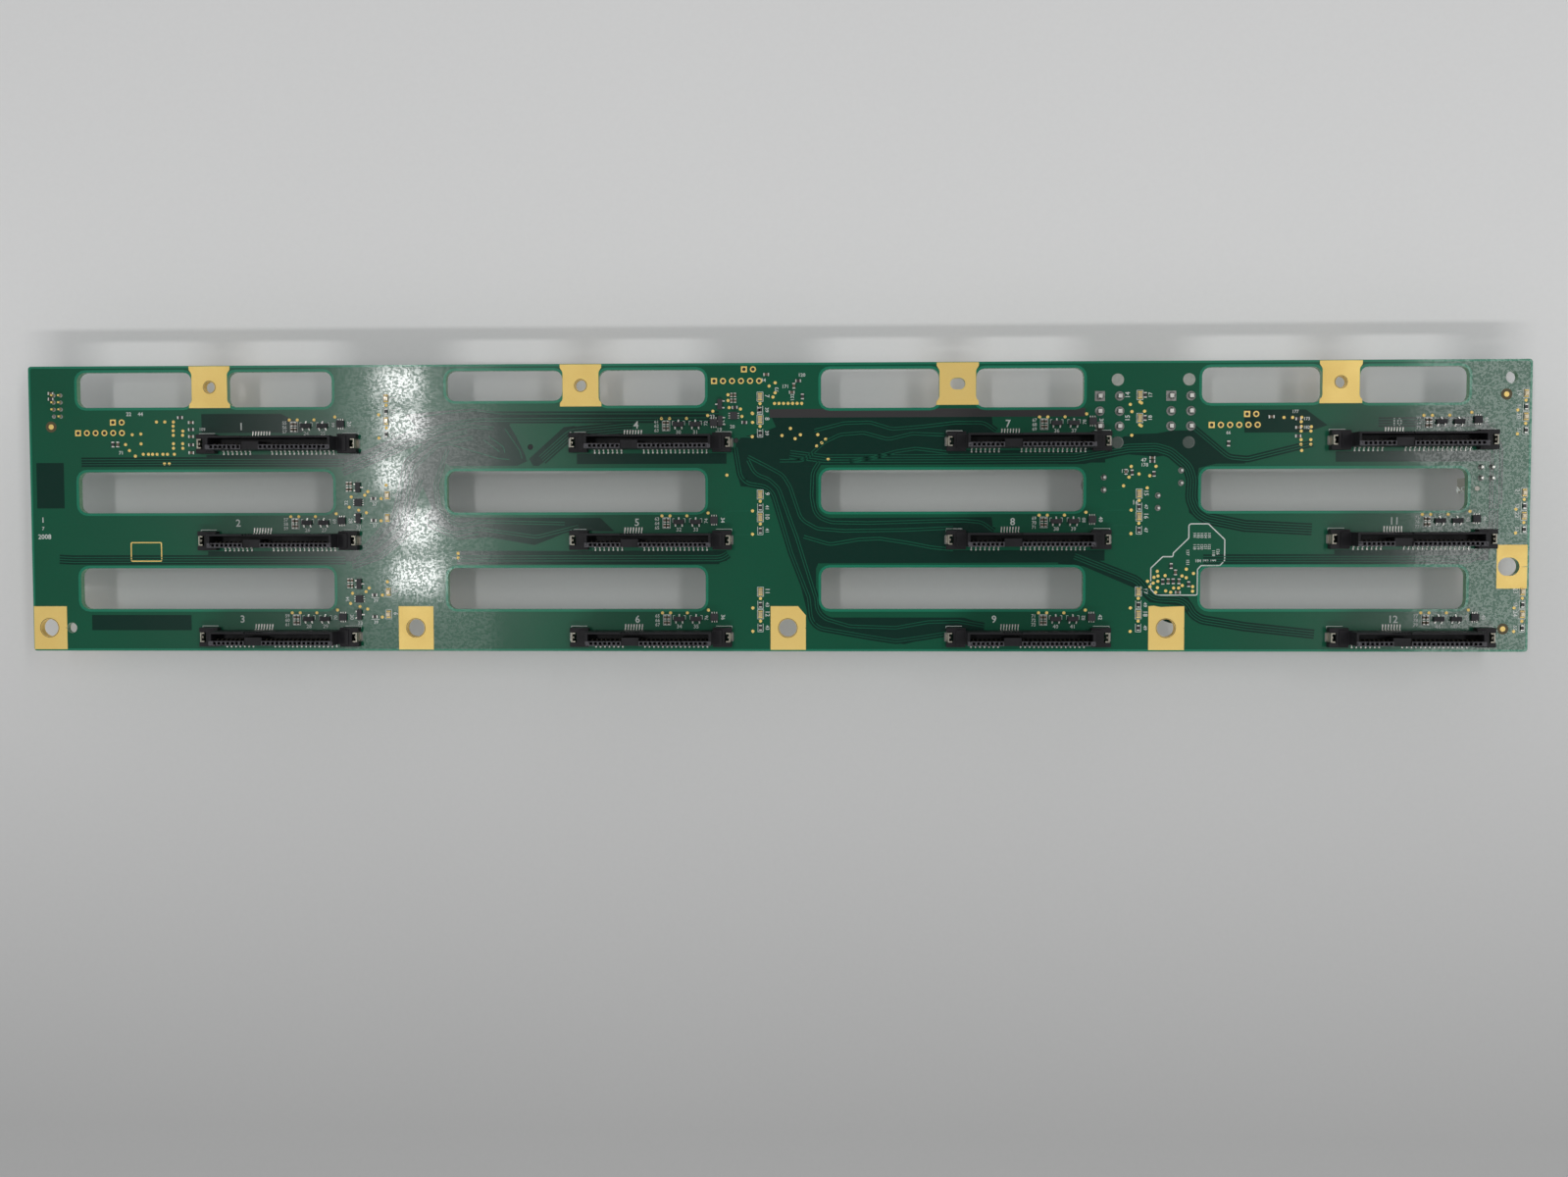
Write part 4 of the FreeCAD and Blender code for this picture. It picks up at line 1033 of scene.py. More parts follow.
class BACKPLANE_OT_gold(bpy.types.Operator):
    """Plated fixing pads, hole walls, alignment marks, ringed holes and test pads"""
    bl_idname = "backplane.gold"
    bl_label = "Gold Plating"

    # right side of a tab's plate, from its top corner down
    tab_side = ((5.9, 5.95), (5.9, 5.1), (5.75, 4.75), (5.3, 4.1), (5.12, 3.6), (5.12, 0.1), (5.12, -0.1),
                (5.12, -3.5), (5.3, -4.2), (5.75, -4.7), (5.9, -5.1), (5.9, -5.9))

    def execute(self, context):
        metal = gold()
        pads, layers = [], both_faces(PLATE_THICKNESS)
        for i, x in enumerate(TAB_X):
            shape = [(x + a, b) for a, b in self.tab_side] + [(x - a, b) for a, b in reversed(self.tab_side)]
            travel = 1.0 if i == SLOTTED_TAB else 0.0
            for z0, z1 in layers:
                pads.append(holed_pad(shape, x, 0.0, 1.63, z0, z1, travel).mesh("pad"))
        for i, x in enumerate(LOWER_HOLE_X):
            left = max(x - 4.9, BOARD_LEFT + 0.15)
            top = LOWER_HOLE_Y + 6.2
            corner = [(x + 5.1, top)] if i != 2 else [(x + 5.1, top - 2.6), (x + 2.9, top)]
            wave = [(x - 1.5, top - 0.25), (x - 3.4, top + 0.1)] if i == 3 else []
            shape = corner + wave + [(left, top), (left, LOWER_HOLE_Y + 0.1), (left, LOWER_HOLE_Y - 0.1),
                                     (left, BOARD_BOTTOM + 0.4), (x + 5.1, BOARD_BOTTOM + 0.4),
                                     (x + 5.1, LOWER_HOLE_Y - 0.1), (x + 5.1, LOWER_HOLE_Y + 0.1)]
            for z0, z1 in layers:
                pads.append(holed_pad(shape, x, LOWER_HOLE_Y, 2.58, z0, z1).mesh("pad"))
        x, y = END_HOLE
        shape = [(x + a, y + b) for a, b in ((5.1, 6.1), (-3.1, 6.1), (-3.3, 5.9), (-3.3, 0.1), (-3.3, -0.1),
                                              (-3.3, -6.1), (5.1, -6.1), (5.1, -0.1), (5.1, 0.1))]
        for z0, z1 in layers:
            pads.append(holed_pad(shape, x, y, 2.58, z0, z1, 0.8).mesh("pad"))
        back, front = REAR - PLATE_THICKNESS, FRONT + PLATE_THICKNESS
        round_tabs = [x for x in TAB_X if x != TAB_X[SLOTTED_TAB]]
        walls = Stock()
        for x, y, r in [(x, 0.0, 1.65) for x in round_tabs] + [(x, LOWER_HOLE_Y, 2.6) for x in LOWER_HOLE_X]:
            walls.ring(x, y, r - 0.06, r + 0.25, back - 0.02, front + 0.03, 28)
        pads.append(walls.mesh("walls"))
        joined("fixing_pads", pads, metal)
        worn = Stock()
        for x, y, r in [(x, LOWER_HOLE_Y, 2.62) for x in LOWER_HOLE_X] + [(x, 0.0, 1.67) for x in round_tabs]:
            worn.ring(x, y, r, r + 0.16, front + 0.02, front + 0.045, 32)
            worn.ring(x, y, r, r + 0.16, back - 0.045, back - 0.02, 32)
        rubbed = finish("worn_plate_edge", (0.20, 0.13, 0.06), (0.10, 0.08, 0.05), rough=0.5, metallic=0.6,
                        patch=700.0)
        piece("hole_edge_wear", finish_mesh(worn.mesh("worn")), rubbed)

        d = sizes().via_diameter
        via = Stock().turned(0, 0, [(d / 2, 0.0), (d / 2, 0.03), (d * 0.36, 0.06), (d * 0.14, 0.045)], 12).mesh("via")
        spots = (over_sockets(NEAR_VIAS) + over_sockets(STRING_VIAS, LEFT_CLUSTER) + HEAD_VIAS + LEFT_VIAS +
                 MIDDLE_VIAS + CORNER_VIAS + over_sockets(LEFT_CLUSTER_VIAS, only=LEFT_CLUSTER))
        spots += [(x + 318.9, y) for x, y in LEFT_VIAS[:13] if x + 318.9 < 152]
        copies("test_pads", finish_mesh(via), on_front(spots), metal, play=0.6)

        ring = Stock().ring(0, 0, 0.5, 0.86, 0.0, PLATE_THICKNESS, 18).mesh("ring")
        holes = [(x0 + RING_PITCH * i, y) for (x0, y), count, _ in RING_ROWS for i in range(1, count)]
        holes += [(x + PAIR_PITCH, y) for _, _, (x, y) in RING_ROWS]
        copies("ringed_holes", finish_mesh(ring), on_front(holes), metal)
        turns = [math.pi * i / 8 + math.pi / 8 for i in range(16)]
        square = Stock().frame_strip(
            [(0.5 * math.cos(a), 0.5 * math.sin(a)) for a in turns],
            [(0.85 * max(-1, min(1, 1.42 * math.cos(a))), 0.85 * max(-1, min(1, 1.42 * math.sin(a)))) for a in turns],
            0.0, PLATE_THICKNESS).mesh("square")
        firsts = [(x0, y) for (x0, y), _, _ in RING_ROWS] + [second for _, _, second in RING_ROWS]
        copies("square_first_holes", finish_mesh(square), on_front(firsts), metal)
        # painted shade: near-black discs in the ringed holes stand for the shade inside each open hole
        bore = Stock().turned(0, 0, [(0.5, 0.0), (0.5, 0.018)], 16).mesh("bore")
        dark = finish("open_bore_painted_shade", (0.02, 0.025, 0.02), (0.01, 0.012, 0.01), rough=0.7)
        copies("hole_bores", finish_mesh(bore), on_front(holes + firsts), dark)
        mark = Stock().turned(0, 0, [(0.75, 0.0), (0.75, 0.04), (0.6, 0.06)], 20).mesh("mark")
        copies("alignment_marks", finish_mesh(mark), on_front(FIDUCIALS), metal)
        halo = Stock().ring(0, 0, 0.78, 1.55, 0.0, 0.022, 24).mesh("halo")
        copies("alignment_halos", finish_mesh(halo), on_front(FIDUCIALS),
               finish("bare_laminate", (0.10, 0.075, 0.03), (0.07, 0.055, 0.025), rough=0.55))
        return {"FINISHED"}


CONTACT_PITCH, FIRST_CONTACT = 1.27, -15.875
# the socket housing in half lengths, then in y from the contact foot line, then in height over the board
BODY_HALF, SLOT_HALF, STEP_HALF, NOTCH_HALF, EAR_HALF = 17.6, 16.9, 20.2, 21.05, 22.95
CELL_HALF, TAIL_HALF = 0.375, 0.2
BRIDGE = (-7.53, -2.63)
EAR_Y, NOTCH_Y, STEP_Y = (0.365, 5.815), (1.69, 4.49), (0.98, 5.2)
BODY_Y, SLOT_Y, CELL_Y, BRIDGE_Y, TAIL_Y = (1.17, 5.01), (2.5, 4.42), (1.495, 2.245), 3.47, 4.7
STEP_TOP, SLOT_FLOOR, EAR_TOP, CELL_FLOOR = 2.6, 2.95, 3.1, 7.75
BRIDGE_TOP, UPPER_WALL_TOP, LOWER_WALL_TOP = 8.55, 8.95, 9.15


def contact_offsets():
    """Seven signal contacts, a gap of four and fifteen power contacts."""
    return [FIRST_CONTACT + CONTACT_PITCH * i for i in (*range(7), *range(11, 26))]


def rear_offsets():
    return [-5.08 + 0.8 * (i - 3) for i in range(7)]


class BACKPLANE_OT_sockets(bpy.types.Operator):
    """The twelve socket housings, with their slot, key bridge, contact cells and ears"""
    bl_idname = "backplane.sockets"
    bl_label = "Drive Sockets"

    def execute(self, context):
        cells, notches = contact_offsets(), rear_offsets()
        xs = [s * half for half in (BODY_HALF, SLOT_HALF, STEP_HALF, NOTCH_HALF, EAR_HALF) for s in (-1, 1)]
        xs += [*BRIDGE, *(x + s * CELL_HALF for x in cells for s in (-1, 1)),
               *(x + s * TAIL_HALF for x in notches for s in (-1, 1))]
        ys = [*EAR_Y, *NOTCH_Y, *STEP_Y, *BODY_Y, *SLOT_Y, *CELL_Y, BRIDGE_Y, TAIL_Y]
        zs = [0.0, STEP_TOP, SLOT_FLOOR, EAR_TOP, CELL_FLOOR, BRIDGE_TOP, UPPER_WALL_TOP, LOWER_WALL_TOP]

        def within(value, span):
            return span[0] < value < span[1]

        def inside(x, y, z):
            ax = abs(x)
            if ax > BODY_HALF:
                return (within(y, EAR_Y) and z < EAR_TOP
                        and (z < STEP_TOP or (ax < STEP_HALF and within(y, STEP_Y)))
                        and not (ax > NOTCH_HALF and within(y, NOTCH_Y)))
            if not within(y, BODY_Y) or (y > SLOT_Y[0] and z > UPPER_WALL_TOP):
                return False
            bridge = within(x, BRIDGE)
            if ax < SLOT_HALF and z > SLOT_FLOOR:
                if within(y, SLOT_Y) and not bridge:
                    return False
                if bridge and (BRIDGE_Y < y < SLOT_Y[1] or z > BRIDGE_TOP):
                    return False
            if z < CELL_FLOOR:
                return True
            in_cell = within(y, CELL_Y) and any(abs(x - c) < CELL_HALF for c in cells)
            in_tail = y > TAIL_Y and any(abs(x - c) < TAIL_HALF for c in notches)
            return not (in_cell or in_tail)

        unit = finish_mesh(solid_from_cells(xs, ys, zs, inside), 0.07, 1, join=True)
        spots = on_front(SOCKETS.values())
        nodes = ["drive_socket_%s_housing" % n for n in SLOTS]
        copies("socket_housings", unit, spots, socket_black(), nodes)
        return {"FINISHED"}


class BACKPLANE_OT_contacts(bpy.types.Operator):
    """Spring contacts in the slots, their soldered feet and the hold-down clips"""
    bl_idname = "backplane.contacts"
    bl_label = "Contacts and Clips"

    def execute(self, context):
        plated, joint = tin(), solder()
        foot = finish_mesh(Stock().box(-0.22, 0.22, 0.03, 0.42, 0.04, 0.24).box(-0.13, 0.13, 0.42, 0.85, 0.04, 0.16)
                           .box(-0.2, 0.2, 0.85, 1.2, 0.04, 0.75).mesh("foot"), 0.05)
        pad = finish_mesh(Stock().turned(0, 0.35, [(0.27, 0.0), (0.26, 0.05), (0.18, 0.12), (0.1, 0.15)], 10)
                          .mesh("joint"))
        feet = on_front(over_sockets([(c, 0.0) for c in contact_offsets()]))
        nodes = ["drive_socket_%s_contacts" % n for n in SLOTS]
        copies("contact_feet", foot, feet, plated, nodes)
        copies("contact_joints", pad, feet, joint, play=0.2)
        tail = finish_mesh(Stock().prism([(-0.14, 5.3), (0.12, 5.3), (0.24, 6.6), (-0.02, 6.6)], 0.03, 0.2)
                           .box(-0.14, 0.12, 4.95, 5.3, 0.03, 0.6).mesh("tail"), 0.03)
        tails = on_front(over_sockets([(c, 0.0) for c in rear_offsets()]))
        copies("rear_contact_tails", tail, tails, plated)
        toe = finish_mesh(Stock().block(0.1, 6.35, 0.42, 0.8, 0.0, 0.04).mesh("toe"), 0.01)
        copies("rear_contact_joints", toe, tails, joint)
        blade = finish_mesh(Stock().box(-0.2, 0.2, 2.52, 2.76, 3.0, 7.0).box(-0.2, 0.2, 2.76, 2.95, 5.6, 6.4)
                            .mesh("blade"), 0.03)
        blades = on_front(over_sockets([(c, 0.0) for c in contact_offsets() if not BRIDGE[0] < c < BRIDGE[1]]))
        # painted shade: the spring blades sit deep in the slot and are coloured near black for the shade that falls
        # there
        shaded_spring_metal = finish("spring_metal_painted_shade", (0.05, 0.045, 0.035), (0.03, 0.026, 0.02), rough=0.5, metallic=0.8)
        copies("slot_springs", blade, blades, shaded_spring_metal)
        clips = []
        for n in SLOTS:
            x, y = SOCKETS[n][0], SOCKETS[n][1] + sum(EAR_Y) / 2
            clips += [(x - NOTCH_HALF, y, FRONT, 180.0), (x + NOTCH_HALF, y, FRONT, 0.0)]
        clip = (Stock().box(1.15, 1.5, -1.36, 1.36, 0.0, 2.9).box(0.3, 1.15, -1.36, -1.0, 2.55, 2.9)
                .box(0.3, 1.15, 1.0, 1.36, 2.55, 2.9).box(0.75, 1.15, -0.3, 0.3, 2.1, 2.4)
                .box(1.5, 1.88, -0.9, 0.9, 0.05, 0.3))
        copies("hold_down_clip_sheets", finish_mesh(clip.mesh("clip"), 0.05), clips, clip_metal(),
               ["hold_down_clips"])
        blob = finish_mesh(Stock().prism(rounded(1.2, 2.3, -1.3, 1.3, 0.3), 0.0, 0.12).mesh("blob"), 0.08)
        copies("clip_solder", blob, clips, joint)
        return {"FINISHED"}


def three_leads():
    """Leads of a small three-legged package: one up, two down."""
    stock = Stock()
    for x, s in ((0.0, 1), (-0.95, -1), (0.95, -1)):
        y0, y1 = sorted((s * 0.6, s * 1.0))
        stock.box(x - 0.2, x + 0.2, y0, y1, 0.05, 0.55)
        y0, y1 = sorted((s * 0.95, s * 1.35))
        stock.box(x - 0.2, x + 0.2, y0, y1, 0.0, 0.15)
    return finish_mesh(stock.mesh("leads"), 0.04)


def six_leads():
    stock = Stock()
    for x in (-0.65, 0.0, 0.65):
        for s in (-1, 1):
            y0, y1 = sorted((s * 1.0, s * 1.5))
            stock.box(x - 0.13, x + 0.13, y0, y1, 0.0, 0.2)
    return finish_mesh(stock.mesh("leads"), 0.03)


class BACKPLANE_OT_small_parts(bpy.types.Operator):
    """Transistors, small chips, resistors, capacitors and indicator lights beside the sockets"""
    bl_idname = "backplane.small_parts"
    bl_label = "Small Parts"

    # resistors and capacitors by turns, away from the sockets: x, y and turn
    loose = (
        (113.0, -51.2, 90.0), (114.2, -53.0, 90.0), (110.7, -55.6, 90.0), (112.2, -55.5, 90.0), (113.6, -55.5, 90.0),
        (115.2, -55.5, 90.0), (117.9, -56.3, 90.0), (114.9, -58.6, 0.0), (101.9, -25.0, 90.0), (100.2, -24.8, 90.0),
        (108.0, -25.4, 90.0), (107.5, -20.9, 0.0), (107.5, -21.9, 0.0), (-205.4, -1.6, 0.0), (-205.4, -3.2, 0.0),
        (6.6, -2.2, 0.0), (8.4, 1.0, 0.0), (7.2, -0.4, 90.0), (9.6, -3.4, 90.0), (-0.6, 2.8, 0.0),
        (-187.6, -16.2, 90.0), (-186.2, -16.2, 90.0), (-168.0, -8.6, 0.0), (-164.9, -10.0, 0.0),
        (-164.9, -12.0, 0.0), (-164.9, -14.0, 0.0), (-164.9, -16.4, 0.0), (-164.9, -18.6, 0.0),
        (128.6, -17.0, 90.0), (140.4, -9.6, 0.0), (147.8, -10.2, 0.0), (147.8, -12.6, 0.0), (147.8, -15.0, 0.0))

    def execute(self, context):
        black, plated = package_black(), tin()
        bodies = on_front(over_sockets(BODY_TRANSISTORS))
        bodies += on_front([(-13.7, -5.5), (-13.6, -10.2)], 90.0)
        bodies += on_front(over_sockets(LEFT_CLUSTER_TRANSISTORS, only=LEFT_CLUSTER), -90.0)
        body = Stock().box(-1.45, 1.45, -0.65, 0.65, 0.08, 1.0)
        copies("transistor_packages", finish_mesh(body.mesh("body"), 0.1, 2), bodies, black,
               ["transistor_bodies"], play=0.02)
        copies("transistor_leads", three_leads(), bodies, plated, play=0.02)
        chips = on_front(over_sockets([BODY_CHIP]))
        chips += on_front([(-9.8, -8.7)] + over_sockets([LEFT_CLUSTER_CHIP], only=LEFT_CLUSTER), 90.0)
        body = Stock().block(0, 0, 2.1, 2.0, 0.06, 0.85).turned(-0.65, -0.6, [(0.16, 0.8), (0.16, 0.853)], 10)
        copies("chip_packages", finish_mesh(body.mesh("chip"), 0.05), chips, black, ["small_ics"],
               play=0.02)
        copies("chip_leads", six_leads(), chips, plated, play=0.02)

        film = on_front(over_sockets(STRING_RESISTORS, NO_STRING), 90.0)
        film += on_front(over_sockets(LEFT_CLUSTER_RESISTORS, only=LEFT_CLUSTER))
        film += on_front([(105.4, -3.4), (105.4, -9.8)], 90.0) + on_front([(-6.8, -10.6), (-9.5, -6.4)])
        film += on_front([(-2.7, -7.2)], 90.0)
        arrays = over_sockets(four_round(*ARRAY, 0.5, 0.75))
        arrays += over_sockets(four_round(*LEFT_CLUSTER_ARRAY, 0.5, 0.8), only=LEFT_CLUSTER)
        arrays = on_front(arrays + four_round(-9.9, -3.7, 0.5, 0.8), 90.0)
        tiny = [(x, y, FRONT, turn) for x, y, turn in self.loose]
        chip = finish_mesh(Stock().block(0, 0, 1.0, 0.8, 0.03, 0.45).mesh("film"), 0.03)
        end = Stock().box(-0.8, -0.45, -0.42, 0.42, 0.0, 0.48).box(0.45, 0.8, -0.42, 0.42, 0.0, 0.48)
        ends = finish_mesh(end.mesh("ends"), 0.05)
        copies("resistors", chip, film + tiny[::2], resistor_black(), play=0.04)
        copies("ceramic_capacitors", finish_mesh(Stock().block(0, 0, 0.75, 0.62, 0.03, 0.5).mesh("c"), 0.04),
               arrays + tiny[1::2], ceramic(), play=0.04)
        copies("chip_ends", ends, film + tiny, plated, play=0.04)
        small_end = Stock().box(-0.58, -0.33, -0.34, 0.34, 0.0, 0.52).box(0.33, 0.58, -0.34, 0.34, 0.0, 0.52)
        copies("array_ends", finish_mesh(small_end.mesh("ends"), 0.04), arrays, plated, play=0.04)

        lights = on_front(over_sockets(LIGHTS), 90.0)
        base = Stock().block(0, 0, 1.9, 1.2, 0.02, 0.3)
        copies("light_bases", finish_mesh(base.mesh("base"), 0.03), lights,
               finish("light_base_resin", (0.55, 0.52, 0.44), (0.42, 0.38, 0.30), rough=0.5, patch=700.0),
               ["status_lights"], play=0.03)
        dome = Stock().prism(rounded(-0.58, 0.58, -0.55, 0.55, 0.12, 2), 0.28, 0.78)
        copies("light_lenses", finish_mesh(dome.mesh("lens"), 0.1, 2), lights, lens(), play=0.03)
        tips = Stock().box(-1.02, -0.72, -0.6, 0.6, 0.0, 0.34).box(0.72, 1.02, -0.6, 0.6, 0.0, 0.34)
        copies("light_ends", finish_mesh(tips.mesh("tips"), 0.04), lights, gold(), play=0.03)
        return {"FINISHED"}


def word(text, x, y, height, turn=0.0, face=1):
    """Plain numerals as a flat closed mesh; face -1 puts them on the rear."""
    curve = bpy.data.curves.new("numeral", "FONT")
    curve.body = text
    curve.size = height * 1.38 * MM
    curve.align_x, curve.align_y = "CENTER", "CENTER"
    curve.resolution_u = 2
    curve.extrude = 0.008 * MM
    curve.offset = height * 0.022 * MM
    helper = bpy.data.objects.new("numeral", curve)
    bpy.context.scene.collection.objects.link(helper)
    bpy.context.view_layer.update()
    data = bpy.data.meshes.new_from_object(helper.evaluated_get(bpy.context.evaluated_depsgraph_get()))
    bpy.data.objects.remove(helper)
    z = FRONT + 0.04 if face > 0 else REAR - 0.04
    place = Matrix.Translation((x * MM, y * MM, z * MM)) @ Matrix.Rotation(math.radians(turn), 4, "Z")
    if face < 0:
        place = place @ Matrix.Rotation(math.pi, 4, "Y")
    data.transform(place)
    return data


class BACKPLANE_OT_legend(bpy.types.Operator):
    """Printed outlines and plain numerals"""
    bl_idname = "backplane.legend"
    bl_label = "Printed Legend"

    def execute(self, context):
        ink = print_white(colours())
        made, routes = [], []
        part = 24  # running number for the marks beside the sockets' small parts
        for i, n in enumerate(SLOTS):
            x, y = SOCKETS[n]
            made.append(word(str(int(n)), x + SLOT_NUMBERS[i], y + 8.0, sizes().slot_number_height))
            for s in (-1, 1):
                routes.append([(x + s * 22.9, y + 5.4), (x + s * 22.9, y + 6.15), (x + s * 18.4, y + 6.15)])
            for k in range(3):
                made.append(word(str(part + 31 + k), x + 1.7, y + 9.0 - 1.25 * k, 0.95))
            ax, ay = x + ARRAY[0], y + ARRAY[1]
            routes.append(box_route(ax - 1.05, ax + 1.05, ay - 1.5, ay + 1.5))
            for dx, dy in BODY_TRANSISTORS:
                for sx in (-1, 1):
                    px, py = x + dx + sx * 1.75, y + dy
                    routes.append([(px - sx * 0.5, py + 0.95), (px, py + 0.95), (px, py - 0.2)])
                made.append(word(str(part), x + dx, y + dy - 2.2, 1.1))
                part += 1
            made.append(word(str(part), x + 20.3, y + 8.7, 1.1, -90.0))
            made.append(word(str(part + 40), x + 15.7, y + 8.5, 1.0, 90.0))
            for j, (dx, dy) in enumerate(LIGHTS):
                lx, ly = x + dx, y + dy
                routes.append(box_route(lx - 0.85, lx + 0.85, ly - 1.3, ly + 1.3))
                if n != "07":
                    side = -1 if x > 100 else 1
                    made.append(word(str(2 * i + j + 1), lx + side * 1.95, ly + 0.2, 1.25, -90.0))
            if n not in NO_STRING:
                for dx, dy in STRING_RESISTORS:
                    rx, ry = x + dx, y + dy
                    routes.append([(rx - 0.75, ry + 1.15), (rx - 0.75, ry - 1.15), (rx + 0.75, ry - 1.15),
                                   (rx + 0.75, ry + 1.15)])
                    made.append(word(str(part + 7), rx + (-1.9 if x > 100 else 1.9), ry, 1.0, -90.0))
            if n in LEFT_CLUSTER:
                for dx, dy in LEFT_CLUSTER_RESISTORS:
                    routes.append([(x + dx - 1.2, y + dy - 0.75), (x + dx + 1.2, y + dy - 0.75)])
                    made.append(word(str(part + 9), x + dx + 0.2, y + dy - 1.6, 0.95))
                made.append(word(str(part + 3), x + 22.7, y + 6.9, 1.1))
                made.append(word(str(part + 4), x + 19.2, y + 13.8, 1.0, 90.0))
        field = [(107.4, -55.5), (107.4, -51.8), (110.7, -48.6), (113.6, -48.6), (113.6, -47.6), (117.9, -43.4),
                 (117.9, -39.8), (118.4, -39.4), (123.3, -39.4), (127.9, -43.8), (127.9, -49.7), (126.6, -51.1),
                 (121.4, -51.1), (120.4, -52.2), (120.4, -59.4), (109.0, -59.4), (107.4, -57.7), (107.4, -56.0)]
        outline = strips("field_line", [field], FRONT, ink, 1, 1.0, 0.32, 0.03, 0.5)
        for k in range(5):
            for r in range(2):
                made.append(word(str(101 + 17 * r + k), 119.5 + 1.02 * k, -42.6 - 3.2 * r, 0.8, -90.0))
        for text, fx, fy, turn in (
                ("184 192 199", 122.6, -49.8, 0.0), ("137", 117.6, -47.4, -90.0), ("151", 117.6, -50.2, -90.0),
                ("126", 126.0, -47.2, -90.0), ("118", 124.8, -47.6, -90.0)):
            made.append(word(text, fx, fy, 0.85, turn))
        for text, px, py, high, turn in (
                ("1", -208.6, -37.8, 1.5, 0), ("7", -208.6, -40.2, 1.0, 0), ("2008", -208.2, -42.6, 1.4, 0),
                ("22", -183.0, -7.6, 1.1, 0), ("44", -179.6, -7.6, 1.1, 0), ("71", -185.4, -18.6, 1.0, 0),
                ("109", -161.8, -12.0, 0.9, 0), ("110", -161.8, -14.0, 0.9, 0), ("111", -161.8, -16.4, 0.9, 0),
                ("14", 100.6, -3.4, 1.3, 90), ("15", 100.6, -9.8, 1.3, 90), ("17", 106.9, -3.4, 1.1, 90),
                ("18", 106.9, -9.8, 1.1, 90), ("170", 99.9, -24.6, 1.0, 0), ("47", 105.2, -21.6, 1.1, 0),
                ("178", 105.4, -22.9, 1.0, 0), ("16", 102.9, -33.4, 1.3, 0), ("23", -15.9, -9.0, 1.1, 0),
                ("19", -13.9, -12.6, 1.1, 0), ("20", -10.2, -11.8, 1.0, 0), ("120", 9.4, 2.6, 1.0, 0),
                ("171", 4.8, -0.6, 1.0, 0), ("132", 6.8, -3.6, 1.0, 90), ("73", 2.4, -1.4, 1.0, 90),
                ("34", -1.4, 1.2, 1.0, 0), ("177", 147.0, -8.2, 0.9, 0), ("173", 150.2, -10.2, 0.9, 0),
                ("182", 150.2, -12.6, 0.9, 0), ("66", 128.6, -14.0, 0.9, 0), ("3", -89.6, -48.8, 1.1, 90)):
            made.append(word(text, px, py, high, turn))
        lines = strips("legend_lines", routes, FRONT, ink, 1, 1.0, sizes().legend_line, 0.03, 0.05)
        joined("printed_legend", made + [lines, outline], ink)
        box = Stock().frame_strip(rounded(-182.9, -174.4, -49.4, -44.4, 0.2, 1),
                                  rounded(-183.2, -174.1, -49.7, -44.1, 0.3, 1), FRONT, FRONT + 0.04)
        piece("bare_badge_frame", finish_mesh(box.mesh("badge")), gold())
        return {"FINISHED"}


